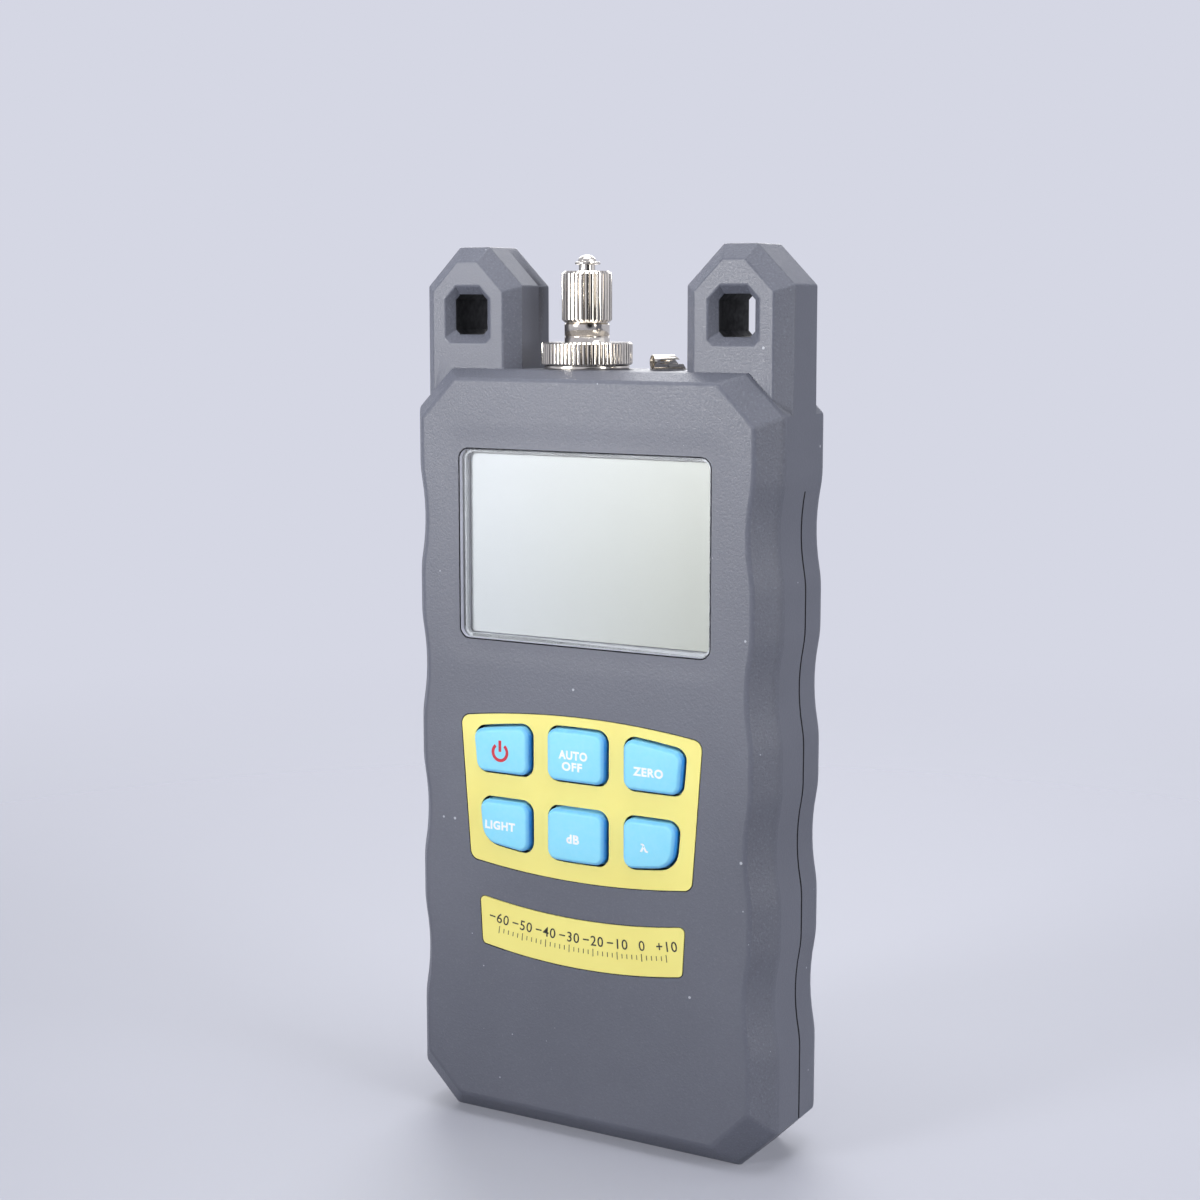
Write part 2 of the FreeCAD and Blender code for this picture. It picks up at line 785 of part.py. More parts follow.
def port_bushing():
    low = foot_z - bushing_drop
    return turned([(port_bore_radius, low), (bushing_radius, low), (bushing_radius, foot_z),
                   (bushing_flange_radius, foot_z), (bushing_flange_radius, spigot_z), (spigot_radius, spigot_z),
                   (spigot_radius, adapter_z), (port_bore_radius, adapter_z)], port_x, port_y)


def bushing_nut():
    z = foot_z - wall - nut_height - foot_gap
    corners = []
    for i in range(6):
        turn = math.pi * i / 3
        r = nut_width / math.sqrt(3)
        corners.append(Vec(port_x + r * math.cos(turn), port_y + r * math.sin(turn), z))
    nut = Part.Face(Part.makePolygon(corners + [corners[0]])).extrude(Vec(0, 0, nut_height))
    return nut.cut(port_rod(bushing_radius + running_gap, z - 1, z + nut_height + 1))


def photodiode():
    top = foot_z - bushing_drop - foot_gap
    low = top - diode_height
    can = port_rod(diode_radius, low, top)
    can = can.makeChamfer(0.3, [e for e in can.Edges if all(abs(v.Z - top) < 1e-4 for v in e.Vertexes)])
    can = can.fuse(port_rod(diode_flange_radius, low - diode_flange, low))
    # three legs, bent forward onto the circuit board
    foot = low - diode_flange - diode_leg
    for turn in (90, 210, 330):
        x = port_x + diode_leg_circle * math.cos(math.radians(turn))
        y = port_y + diode_leg_circle * math.sin(math.radians(turn))
        drop = foot + abs(x - port_x) * 0.5
        can = can.fuse(rod_z(x, y, diode_leg_radius, drop, low - diode_flange))
        can = can.fuse(rod_y(x, drop, diode_leg_radius, board_back_y, y))
    return can


def fibre_adapter():
    flange_top = adapter_z + adapter_flange
    groove_z = ring_top + 0.9
    foot = adapter_z + 0.02
    return turned([(ferrule_radius, foot), (spigot_radius, foot), (spigot_radius, flange_top - 0.02),
                   (neck_radius, flange_top - 0.02), (neck_radius, groove_z),
                   (neck_radius - neck_groove, groove_z + neck_groove / 2),
                   (neck_radius - neck_groove, groove_z + neck_groove), (neck_radius, groove_z + 1.5 * neck_groove),
                   (neck_radius, neck_top - 0.3), (neck_radius - 0.3, neck_top), (barrel_radius, neck_top),
                   (barrel_radius, neck_top + barrel_height - 0.4), (barrel_radius - 0.4, neck_top + barrel_height),
                   (ferrule_radius + 0.5, neck_top + barrel_height), (ferrule_radius, neck_top + barrel_height - 0.5)],
                  port_x, port_y)


def adapter_ring():
    ring = knurled(port_x, port_y, ring_radius, ring_tooth_depth, ring_teeth, ring_z, ring_top, 0.4)
    ring = ring.cut(port_rod(spigot_radius + running_gap, ring_z - 1, adapter_z + adapter_flange + running_gap))
    return ring.cut(port_rod(neck_radius + running_gap, ring_z, ring_top + 1))


def dust_cap():
    cap = knurled(port_x, port_y, cap_radius, cap_tooth_depth, cap_teeth, cap_z, cap_top, cap_chamfer)
    cap = cap.fuse(port_rod(cap_boss_radius, cap_top - 0.5, cap_top + cap_boss_height))
    cap = cap.cut(port_rod(barrel_radius + running_gap, cap_z - 1, cap_top - cap_roof))
    return cap.cut(port_rod(rivet_radius, cap_top - cap_roof, cap_top + cap_boss_height + 1))


def cap_rivet():
    head_z = cap_top + cap_boss_height + swivel_thick + 2 * running_gap
    profile = [(0, cap_top - cap_roof), (rivet_radius, cap_top - cap_roof), (rivet_radius, head_z),
               (rivet_head_radius, head_z)]
    arcs = 5
    for i in range(1, arcs):
        turn = math.pi / 2 * i / arcs
        profile.append((rivet_head_radius * math.cos(turn), head_z + rivet_head_height * math.sin(turn)))
    profile.append((0, head_z + rivet_head_height))
    return turned(profile, port_x, port_y)


def swivel_ring():
    z0 = cap_top + cap_boss_height + running_gap
    ring = port_rod(swivel_radius, z0, z0 + swivel_thick)
    lug_y = port_y + swivel_lug
    ring = ring.fuse(rod_z(port_x, lug_y, swivel_lug_radius, z0, z0 + swivel_thick))
    ring = ring.cut(rod_z(port_x, lug_y, swivel_eye_radius, z0 - 1, z0 + swivel_thick + 1))
    return ring.cut(port_rod(rivet_radius + running_gap, z0 - 1, z0 + swivel_thick + 1))


# Tether clip: a rolled strip with a slot along its near side and a pad that turns on a pin.
def tether_clip():
    half = clip_length / 2
    roll = Part.makeCylinder(clip_radius, clip_length, Vec(-half, 0, clip_radius), Vec(1, 0, 0))
    bore = Part.makeCylinder(clip_radius - clip_wall, clip_length + 1, Vec(-half - 0.5, 0, clip_radius), Vec(1, 0, 0))
    roll = roll.cut(bore)
    roll = roll.cut(box(-half + clip_slot, half + 1, -clip_radius - 1, 0, clip_radius - clip_slot / 4,
                        clip_radius + clip_slot / 2))
    # the far end slants back over the pointed pad
    slant = [Vec(half - 2 * clip_slot, -clip_radius - 1, 2 * clip_radius + 0.1),
             Vec(half + 0.1, -clip_radius - 1, 2 * clip_radius + 0.1), Vec(half + 0.1, -clip_radius - 1, clip_wall)]
    roll = roll.cut(Part.Face(Part.makePolygon(slant + [slant[0]])).extrude(Vec(0, 2 * clip_radius + 2, 0)))
    side = clip_pad_width / 2
    pad = [Vec(-half, -side, 0), Vec(half - 0.6, -side, 0), Vec(half + 0.6, 0, 0), Vec(half - 0.6, side, 0),
           Vec(-half, side, 0)]
    clip = roll.fuse(Part.Face(Part.makePolygon(pad + [pad[0]])).extrude(Vec(0, 0, clip_wall)))
    clip = clip.cut(rod_z(0, 0, clip_pin_radius + running_gap, -0.5, 1))
    clip = clip.cut(rod_z(0, 0, clip_pin_head + 2 * running_gap, clip_wall, clip_radius))
    clip.rotate(Vec(0, 0, 0), Vec(0, 0, 1), clip_turn)
    clip.translate(Vec(clip_x, port_y, clip_z))
    return clip


def clip_pin():
    head_z = clip_z + clip_wall + running_gap
    pin = rod_z(clip_x, port_y, clip_pin_radius, clip_pin_foot, head_z)
    return pin.fuse(rod_z(clip_x, port_y, clip_pin_head, head_z, head_z + clip_pin_head_height))


# Cells stand side by side, the middle one the other way up.
def battery_cell(index):
    x = (index - (cell_count - 1) / 2) * cell_pitch
    low = bay_low + contact_thick
    flipped = index % 2 == 1
    body_low = low + cell_nub if flipped else low + spring_height
    body_high = body_low + cell_length
    nub_low = low if flipped else body_high
    profile = [(0, body_low), (cell_radius - 0.4, body_low), (cell_radius, body_low + 0.4),
               (cell_radius, body_high - 0.4), (cell_radius - 0.4, body_high), (0, body_high)]
    return turned(profile, x, cell_y).fuse(rod_z(x, cell_y, cell_nub_radius, nub_low, nub_low + cell_nub))


def contact_plate(x0, x1, z, with_tail):
    plate = box(x0 - contact_width / 2, x1 + contact_width / 2, cell_y - contact_width / 2, cell_y + contact_width / 2,
                z, z + contact_thick)
    if with_tail:
        plate = plate.fuse(box(x0 - tail_width / 2, x0 + tail_width / 2, board_back_y, cell_y, z, z + contact_thick))
    return plate


# A bent leaf that pushes on the cell's flat end, rising from the plate.
def spring_leaf(x, z, up):
    rise = spring_height - 0.15
    y0 = cell_y - contact_width / 2 + 0.5
    y1 = cell_y + contact_width / 2 - 0.5
    t = contact_thick
    points = [(y0, 0), (y0 + t, 0), (cell_y, rise - t), (y1 - 1.2, rise * 0.55), (y1 - 0.8, rise * 0.55 + t),
              (cell_y + 0.6, rise), (cell_y - 0.6, rise)]
    if not up:
        points = [(y, -h) for y, h in points]
    loop = [Vec(x - 1.5, y, z + h) for y, h in points]
    return Part.Face(Part.makePolygon(loop + [loop[0]])).extrude(Vec(3, 0, 0))


low_plate = bay_low
high_plate = bay_high - contact_thick


def contact_negative():
    plate = contact_plate(-cell_pitch, -cell_pitch, low_plate, True)
    return plate.fuse(spring_leaf(-cell_pitch, low_plate + contact_thick, True))


def contact_positive():
    return contact_plate(cell_pitch, cell_pitch, high_plate, True)


def contact_bridge_high():
    plate = contact_plate(-cell_pitch, 0, high_plate, False)
    return plate.fuse(spring_leaf(0, high_plate, False))


def contact_bridge_low():
    plate = contact_plate(0, cell_pitch, low_plate, False)
    return plate.fuse(spring_leaf(cell_pitch, low_plate + contact_thick, True))


# Door: a plate with a rounded top edge on two pins, stiffening ribs inside and grip ribs at its foot.
def battery_door():
    door = box(-door_half, door_half, door_inner_y, back_y, door_low, hinge_z)
    barrel = Part.makeCylinder(hinge_barrel, 2 * door_half, Vec(-door_half, hinge_y, hinge_z), Vec(1, 0, 0))
    reach = door_half + door_pin_length
    pins = Part.makeCylinder(door_pin_radius, 2 * reach, Vec(-reach, hinge_y, hinge_z), Vec(1, 0, 0))
    door = door.fuse(barrel).fuse(pins)
    door = door.fuse(box(-door_half, door_half, hinge_y, back_y, hinge_z - 1, hinge_z))
    for i in range(door_grip_ribs):
        z = door_low + 4 + i * door_grip_pitch
        groove = box(-9, 9, back_y - 0.4, back_y + 1, z, z + door_grip_pitch / 2)
        door = door.cut(groove)
    return door


pieces = {
    "front_shell": front_shell,
    "rear_shell": rear_shell,
    "display_window": lambda: window_plate(pane_gap, pane_y, pane_back_y),
    "window_tape": lambda: window_plate(pane_gap, pane_back_y, pane_back_y + tape_thick).cut(
        window_plate(window_ledge, pane_y, inner_y)),
    "lcd_holder": lcd_holder,
    "lcd_glass": lcd_glass,
    "lcd_connector": lcd_connector,
    "backlight_panel": backlight_panel,
    "circuit_board": circuit_board,
    "processor_chip": processor_chip,
    "amplifier_shield": amplifier_shield,
    "keypad_mat": keypad_mat,
    "keypad_overlay": keypad_overlay,
    "name_plate": lambda: plate_solid(0, front_y, front_y + plate_thick),
    "case_screws": case_screws,
    "board_screws": board_screws,
    "port_bushing": port_bushing,
    "bushing_nut": bushing_nut,
    "photodiode": photodiode,
    "fibre_adapter": fibre_adapter,
    "adapter_ring": adapter_ring,
    "dust_cap": dust_cap,
    "cap_rivet": cap_rivet,
    "swivel_ring": swivel_ring,
    "tether_clip": tether_clip,
    "clip_pin": clip_pin,
    "contact_negative": contact_negative,
    "contact_positive": contact_positive,
    "contact_bridge_high": contact_bridge_high,
    "contact_bridge_low": contact_bridge_low,
    "battery_door": battery_door,
}

os.makedirs("parts", exist_ok=True)
for name, make in pieces.items():
    save(name, make())
for name, column, row in key_nodes:
    save(name, key(column, row))
for index in range(cell_count):
    save("battery_cell_" + str(index + 1), battery_cell(index))
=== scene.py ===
import json
import math
import bpy
import bmesh
from mathutils import Matrix, Vector


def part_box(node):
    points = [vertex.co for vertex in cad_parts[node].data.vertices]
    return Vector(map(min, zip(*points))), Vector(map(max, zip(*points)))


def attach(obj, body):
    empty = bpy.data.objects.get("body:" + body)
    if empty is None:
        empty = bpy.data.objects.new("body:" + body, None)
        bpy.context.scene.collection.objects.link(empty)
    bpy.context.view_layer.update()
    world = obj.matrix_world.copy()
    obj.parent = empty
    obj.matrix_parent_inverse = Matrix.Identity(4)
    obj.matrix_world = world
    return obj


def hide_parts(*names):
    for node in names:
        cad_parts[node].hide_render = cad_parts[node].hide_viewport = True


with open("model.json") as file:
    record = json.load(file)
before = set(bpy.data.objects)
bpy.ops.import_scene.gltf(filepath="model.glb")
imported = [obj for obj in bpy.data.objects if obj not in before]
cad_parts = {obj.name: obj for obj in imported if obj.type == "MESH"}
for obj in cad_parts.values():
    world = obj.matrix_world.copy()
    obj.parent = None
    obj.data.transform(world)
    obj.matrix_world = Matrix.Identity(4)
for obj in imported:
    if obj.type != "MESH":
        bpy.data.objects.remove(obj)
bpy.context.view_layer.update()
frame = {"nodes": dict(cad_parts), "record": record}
nodes = frame["nodes"]
mm = 0.001
near = 0.02 * mm    # places closer than this count as the same


def srgb(red, green, blue):
    def linear(value):
        value /= 255
        return value / 12.92 if value <= 0.04045 else ((value + 0.055) / 1.055) ** 2.4
    return (linear(red), linear(green), linear(blue), 1.0)


def addNode(tree, kind, **values):
    node = tree.nodes.new(kind)
    for key, value in values.items():
        setattr(node, key, value)
    return node


def objectCoords(tree):
    found = tree.nodes.get("partCoords")
    if found is None:
        found = addNode(tree, "ShaderNodeTexCoord", name="partCoords")
    return found.outputs["Object"]


def noise(tree, scale, detail=2.0, rough=0.5):
    node = addNode(tree, "ShaderNodeTexNoise")
    node.inputs["Scale"].default_value = scale
    node.inputs["Detail"].default_value = detail
    node.inputs["Roughness"].default_value = rough
    tree.links.new(objectCoords(tree), node.inputs["Vector"])
    return node.outputs["Fac"]


# Lays the value's range from low to high over the range from toLow to toHigh, and stops at its ends.
def spread(tree, value, low, high, toLow, toHigh):
    node = addNode(tree, "ShaderNodeMapRange", clamp=True)
    for name, number in zip(("From Min", "From Max", "To Min", "To Max"), (low, high, toLow, toHigh)):
        node.inputs[name].default_value = number
    tree.links.new(value, node.inputs["Value"])
    return node.outputs["Result"]


def combine(tree, operation, a, b):
    node = addNode(tree, "ShaderNodeMath", operation=operation)
    for slot, value in zip(node.inputs, (a, b)):
        if isinstance(value, (int, float)):
            slot.default_value = value
        else:
            tree.links.new(value, slot)
    return node.outputs[0]


def blendColour(tree, share, first, second):
    node = addNode(tree, "ShaderNodeMix", data_type="RGBA")
    tree.links.new(share, node.inputs["Factor"])
    colourSlots = [s for s in node.inputs if s.type == "RGBA"]
    for slot, value in zip(colourSlots, (first, second)):
        if isinstance(value, tuple):
            slot.default_value = value
        else:
            tree.links.new(value, slot)
    return [s for s in node.outputs if s.type == "RGBA"][0]


def bump(tree, height, depth, strength=1.0):
    node = addNode(tree, "ShaderNodeBump")
    node.inputs["Strength"].default_value = strength
    node.inputs["Distance"].default_value = depth
    tree.links.new(height, node.inputs["Height"])
    return node.outputs["Normal"]


def newMaterial(name, colour, rough, metal=0.0, **sockets):
    material = bpy.data.materials.new(name)
    material.use_nodes = True
    shader = material.node_tree.nodes["Principled BSDF"]
    shader.inputs["Base Color"].default_value = colour
    shader.inputs["Roughness"].default_value = rough
    shader.inputs["Metallic"].default_value = metal
    for key, value in sockets.items():
        shader.inputs[key.replace("_", " ")].default_value = value
    return material, material.node_tree, shader


caseFinish = {
    "colour": srgb(91, 94, 106),
    "paler": srgb(99, 102, 114),
    "grainPale": srgb(134, 137, 149),
    "grainDark": srgb(70, 72, 83),
    "speck": srgb(205, 208, 218),
    "roughness": 0.46,
    "patches": 26,          # broad, faint patches per metre
    "grain": 2300,          # spark texture, grains per metre
    "grainDepth": 0.00013,
    "flatGrain": 0.42,      # share of the grain left on faces that look straight at the front or a side
    "speckScale": 300,
    "speckField": 170,      # a slower noise that lets the specks show in few places
    "speckSize": 0.085,
    "speckShare": 0.6,
}


# 1 on slanted faces, and the given share on faces that look straight at the front or a side.
def slantOf(tree, share):
    parts = addNode(tree, "ShaderNodeSeparateXYZ")
    tree.links.new(addNode(tree, "ShaderNodeNewGeometry").outputs["Normal"], parts.inputs[0])
    facing = combine(tree, "ABSOLUTE", parts.outputs["Y"], 0.0)
    product = combine(tree, "MULTIPLY", facing, combine(tree, "SUBTRACT", 1.0, facing))
    return spread(tree, product, 0.05, 0.2, share, 1.0)


def casePlastic(look=caseFinish):
    material, tree, shader = newMaterial("caseMoulding", look["colour"], look["roughness"])
    patch = noise(tree, look["patches"], 3)
    body = blendColour(tree, spread(tree, patch, 0.35, 0.7, 0, 1), look["colour"], look["paler"])
    grain = noise(tree, look["grain"], 3, 0.65)
    slant = slantOf(tree, look["flatGrain"])
    pale = combine(tree, "MULTIPLY", spread(tree, grain, 0.55, 0.85, 0, 0.7), slant)
    dark = combine(tree, "MULTIPLY", spread(tree, grain, 0.45, 0.2, 0, 0.6), slant)
    body = blendColour(tree, dark, blendColour(tree, pale, body, look["grainPale"]), look["grainDark"])
    dots = addNode(tree, "ShaderNodeTexVoronoi", feature="F1")
    dots.inputs["Scale"].default_value = look["speckScale"]
    tree.links.new(objectCoords(tree), dots.inputs["Vector"])
    dotSize = spread(tree, noise(tree, look["speckField"], 1), 0.5, 0.72, 0.0, look["speckSize"])
    inDot = combine(tree, "LESS_THAN", dots.outputs["Distance"], dotSize)
    colour = blendColour(tree, combine(tree, "MULTIPLY", inDot, look["speckShare"]), body, look["speck"])
    tree.links.new(colour, shader.inputs["Base Color"])
    tree.links.new(spread(tree, grain, 0.3, 0.7, look["roughness"] - 0.08, look["roughness"] + 0.1),
                   shader.inputs["Roughness"])
    height = combine(tree, "MULTIPLY", grain, slant)
    tree.links.new(bump(tree, height, look["grainDepth"], 1.0), shader.inputs["Normal"])
    return material


keyFinish = {
    "face": srgb(142, 222, 251),
    # painted shade: the deeper blue stands in for the flanks' shade
    "paintedShadeFlank": srgb(40, 150, 255),
    "bloom": srgb(230, 245, 255),
    "bloomShare": 0.06,
    "bloomScale": 900,
    "roughness": 0.5,
    "shine": 0.25,
    "texture": 2600,
    "textureDepth": 0.000012,
}


# Painted light and shade: pale where it looks forwards or up, and a deeper, painted-shade blue on the flanks.
def keyRubber(look=keyFinish):
    material, tree, shader = newMaterial("keySilicone", look["face"], look["roughness"],
                                         Specular_IOR_Level=look["shine"])
    normal = addNode(tree, "ShaderNodeNewGeometry").outputs["Normal"]
    parts = addNode(tree, "ShaderNodeSeparateXYZ")
    tree.links.new(normal, parts.inputs[0])
    facing = spread(tree, combine(tree, "MULTIPLY", parts.outputs["Y"], -1.0), 0.25, 0.97, 0, 1)
    # painted light: the pale face colour where the key looks forwards or up, painted shade elsewhere
    lit = combine(tree, "MAXIMUM", facing, spread(tree, parts.outputs["Z"], 0.2, 1.0, 0, 0.8))
    base = blendColour(tree, lit, look["paintedShadeFlank"], look["face"])
    bloom = spread(tree, noise(tree, look["bloomScale"], 2), 0.3, 0.7, 0.0, look["bloomShare"])
    tree.links.new(blendColour(tree, bloom, base, look["bloom"]), shader.inputs["Base Color"])
    texture = noise(tree, look["texture"], 2)
    tree.links.new(bump(tree, texture, look["textureDepth"], 0.6), shader.inputs["Normal"])
    return material


labelFinish = {
    "colour": srgb(246, 236, 138),
    "deeper": srgb(241, 229, 130),
    "toneScale": 60,
    "roughness": 0.38,
    "sheenScale": 700,
    "texture": 1400,
    "textureDepth": 0.000008,
}


def labelFilm(look=labelFinish):
    material, tree, shader = newMaterial("labelFilm", look["colour"], look["roughness"])
    tone = spread(tree, noise(tree, look["toneScale"], 3), 0.3, 0.7, 0, 1)
    tree.links.new(blendColour(tree, tone, look["colour"], look["deeper"]), shader.inputs["Base Color"])
    tree.links.new(spread(tree, noise(tree, look["sheenScale"], 2), 0.3, 0.7, look["roughness"] - 0.04,
                          look["roughness"] + 0.08), shader.inputs["Roughness"])
    texture = noise(tree, look["texture"], 2)
    tree.links.new(bump(tree, texture, look["textureDepth"], 0.5), shader.inputs["Normal"])
    return material


metalFinish = {
    "colour": (0.74, 0.695, 0.625, 1.0),
    "stain": (0.50, 0.43, 0.36, 1.0),
    # painted shade: the dark colour laid into the knurl's grooves
    "grooveShade": (0.06, 0.042, 0.032, 1.0),
    "stains": 420,
    "roughness": 0.14,
    "polish": 2200,
    "polishDepth": 0.0000004,
}


# The groove attribute, which the knurled pieces carry, says where painted shade darkens the grooves.
def platedMetal(look=metalFinish):
    material, tree, shader = newMaterial("nickelPlate", look["colour"], look["roughness"], 1.0)
    patch = spread(tree, noise(tree, look["stains"], 4, 0.6), 0.5, 0.8, 0, 0.3)
    stained = blendColour(tree, patch, look["colour"], look["stain"])
    grooveShade = addNode(tree, "ShaderNodeAttribute", attribute_name="groove")
    paintedShadeShare = spread(tree, grooveShade.outputs["Fac"], 0.25, 1.0, 0, 0.85)
    tree.links.new(blendColour(tree, paintedShadeShare, stained, look["grooveShade"]), shader.inputs["Base Color"])
    fine = noise(tree, look["polish"], 3, 0.6)
    tree.links.new(spread(tree, fine, 0.3, 0.7, look["roughness"] - 0.02, look["roughness"] + 0.05),
                   shader.inputs["Roughness"])
    tree.links.new(bump(tree, fine, look["polishDepth"], 0.4), shader.inputs["Normal"])
    return material


# Two near tones in soft patches, with a slightly uneven gloss and a fine texture.
def plain(name, colour, other, rough, scale=300, metal=0.0):
    material, tree, shader = newMaterial(name, colour, rough, metal)
    tone = spread(tree, noise(tree, scale, 3), 0.3, 0.7, 0, 1)
    tree.links.new(blendColour(tree, tone, colour, other), shader.inputs["Base Color"])
    tree.links.new(spread(tree, noise(tree, scale * 3, 2), 0.3, 0.7, rough * 0.85, rough * 1.15),
                   shader.inputs["Roughness"])
    tree.links.new(bump(tree, noise(tree, scale * 5, 2), 0.00001, 0.5), shader.inputs["Normal"])
    return material


paneFinish = {
    "tint": (0.97, 0.98, 0.98, 1),
    "roughness": 0.24,
    "index": 1.49,
    "ripples": 90,
    "rippleDepth": 0.000004,
}


# Clear acrylic: straight through, with a soft reflection on its outer side only.
def clearPane(look=paneFinish):
    material = bpy.data.materials.new("windowPane")
    material.use_nodes = True
    tree = material.node_tree
    tree.nodes.remove(tree.nodes["Principled BSDF"])
    output = tree.nodes["Material Output"]
    through = addNode(tree, "ShaderNodeBsdfTransparent")
    through.inputs["Color"].default_value = look["tint"]
    gloss = addNode(tree, "ShaderNodeBsdfGlossy")
    gloss.inputs["Roughness"].default_value = look["roughness"]
    mix = addNode(tree, "ShaderNodeMixShader")
    fresnel = addNode(tree, "ShaderNodeFresnel")
    fresnel.inputs["IOR"].default_value = look["index"]
    behind = addNode(tree, "ShaderNodeNewGeometry").outputs["Backfacing"]
    share = combine(tree, "MULTIPLY", fresnel.outputs[0], combine(tree, "SUBTRACT", 1.0, behind))
    ripple = bump(tree, noise(tree, look["ripples"], 2), look["rippleDepth"], 0.4)
    tree.links.new(ripple, gloss.inputs["Normal"])
    tree.links.new(share, mix.inputs[0])
    tree.links.new(through.outputs[0], mix.inputs[1])
    tree.links.new(gloss.outputs[0], mix.inputs[2])
    tree.links.new(mix.outputs[0], output.inputs["Surface"])
    return material


displayFinish = {
    "left": srgb(204, 206, 210),
    "right": srgb(190, 191, 184),
    "fadeFrom": -0.02,
    "fadeTo": 0.024,
    "roughness": 0.3,
}


# A blank display with a painted reflection: paler and cooler on the left, darker and warmer on the right.
def displayFace(look=displayFinish):
    material, tree, shader = newMaterial("displayPaintedReflection", look["left"], look["roughness"])
    parts = addNode(tree, "ShaderNodeSeparateXYZ")
    tree.links.new(objectCoords(tree), parts.inputs[0])
    # painted reflection: a fade across the display from its pale left to its darker right
    across = spread(tree, parts.outputs["X"], look["fadeFrom"], look["fadeTo"], 0, 1)
    tree.links.new(blendColour(tree, across, look["left"], look["right"]), shader.inputs["Base Color"])
    rough = look["roughness"]
    tree.links.new(spread(tree, noise(tree, 90, 2), 0.3, 0.7, rough - 0.01, rough + 0.03),
                   shader.inputs["Roughness"])
    return material


materials = {
    "case_plastic": casePlastic(),
    "key_blue": keyRubber(),
    "label_yellow": labelFilm(),
    "nickel_plate": platedMetal(),
    "window_clear": clearPane(),
    "lcd_face": displayFace(),
    "holder_white": plain("holderMoulding", srgb(222, 223, 233), srgb(208, 209, 222), 0.45),
    "light_guide": plain("lightGuide", srgb(226, 230, 226), srgb(214, 220, 216), 0.35),
    "silicone_grey": plain("matSilicone", srgb(120, 124, 128), srgb(106, 110, 114), 0.6),
    "board_green": plain("solderMask", srgb(24, 96, 52), srgb(18, 78, 42), 0.3, 240),
    "chip_black": plain("chipEpoxy", srgb(38, 38, 40), srgb(52, 52, 54), 0.55),
    "tin_steel": plain("tinPlate", (0.62, 0.62, 0.6, 1), (0.5, 0.5, 0.48, 1), 0.3, metal=1.0),
    "tape_white": plain("edgeTape", srgb(196, 198, 202), srgb(186, 188, 194), 0.5),
    "screw_steel": plain("screwSteel", (0.46, 0.46, 0.46, 1), (0.36, 0.36, 0.36, 1), 0.32, metal=1.0),
    "cell_sleeve": plain("cellSleeve", srgb(44, 52, 66), srgb(38, 45, 58), 0.28, 200),
}


def dress(piece, material):
    if piece.data.materials:
        piece.data.materials[0] = material
    else:
        piece.data.materials.append(material)


slotOf = {part["node"]: part["material_slot"] for part in frame["record"]["subparts"]}
for name, node in nodes.items():
    dress(node, materials[slotOf[name]])
print("finishes are on the frame")


def newPiece(name, mesh):
    piece = bpy.data.objects.new(name, mesh)
    bpy.context.scene.collection.objects.link(piece)
    return piece


# A merged copy of a CAD node's mesh, with flat faces joined up again unless kept says to leave them.
def meshCopy(nodeName, kept=None):
    bm = bmesh.new()
    bm.from_mesh(nodes[nodeName].data)
    bmesh.ops.remove_doubles(bm, verts=bm.verts, dist=2e-6)
    edges = [e for e in bm.edges if not (kept and any(kept(f) for f in e.link_faces))]
    bmesh.ops.dissolve_limit(bm, angle_limit=math.radians(0.6), verts=[], edges=edges,
                             use_dissolve_boundaries=False)
    return bm


def finishMesh(bm, name, sharpAngle=28):
    mesh = bpy.data.meshes.new(name)
    bm.to_mesh(mesh)
    bm.free()
    mesh.shade_smooth()
    mesh.set_sharp_from_angle(angle=math.radians(sharpAngle))
    return newPiece(name, mesh)


# A closed band of faces between two loops with the same count of vertices.
def joinLoops(bm, first, second):
    for i in range(len(first)):
        bm.faces.new((first[i - 1], first[i], second[i], second[i - 1]))


# The faces of a closed mesh point outwards: one whose volume comes out negative is turned round.
def faceOutwards(bm):
    bmesh.ops.recalc_face_normals(bm, faces=bm.faces)
    if bm.calc_volume(signed=True) < 0:
        bmesh.ops.reverse_faces(bm, faces=bm.faces)


def turnBetween(edge):
    return math.degrees(edge.calc_face_angle_signed(0)) if len(edge.link_faces) == 2 else 0


caseShape = {
    "rim": 0.0006,
    "shoulder": 0.0011,
    "topShoulder": 0.0005,
    "corner": 0.0006,
    "horn": 0.00026,
    "segments": 3,
    "sharpFrom": 18,            # degrees
    "bevelDepth": 0.0047,
    "topShoulderFrom": 0.1434,  # height above which the shoulder is the top's own
    "hornFoot": 0.1516,         # height above which edges can be the horns' own
    "hornInner": 0.017,         # how far from the middle the horns begin
    "insideDepth": 0.0125,      # faces nearer the middle plane than this belong to the inside
    "insideTop": 0.152,
}

# The front's area of window, label and plate, and the depths at which its walls take painted shade or a
# painted reflection.
panelShape = {
    "half": 0.033,
    "foot": 0.009,
    "top": 0.1425,
    "windowFoot": 0.0925,
    "dishDepth": 0.0002,        # the solid's own dish round the window
    "dishSkin": 0.00025,        # walls are in shade from this far under the face
    "labelSkin": 0.0001,
    "paneBack": -0.0119,        # behind the pane and its tape the wall takes a painted reflection, pale like the tape
    "wallBack": -0.0095,
}

seamShape = {
    "front": 0.00105,
    "back": 0.0014,
    "top": 0.1297,
    "wider": 0.0002,
}

strapEye = {
    "halfWide": 0.0038,
    "halfTall": 0.004,
    "halfDeep": 0.0061,
}
mountPlace = {mount["name"]: Vector(mount["pos_m"]) for mount in frame["record"]["mounts"]}


def inPanel(place, look=panelShape):
    return abs(place.x) < look["half"] and look["foot"] < place.z < look["top"]


# Inner faces and level faces keep the frame's triangles, because holes run through them.
def innerFace(face, shape=caseShape):
    middle = face.calc_center_median()
    inside = abs(middle.y) < shape["insideDepth"] and middle.z < shape["insideTop"]
    return abs(face.normal.y) > 0.9 and inside or abs(face.normal.z) > 0.99
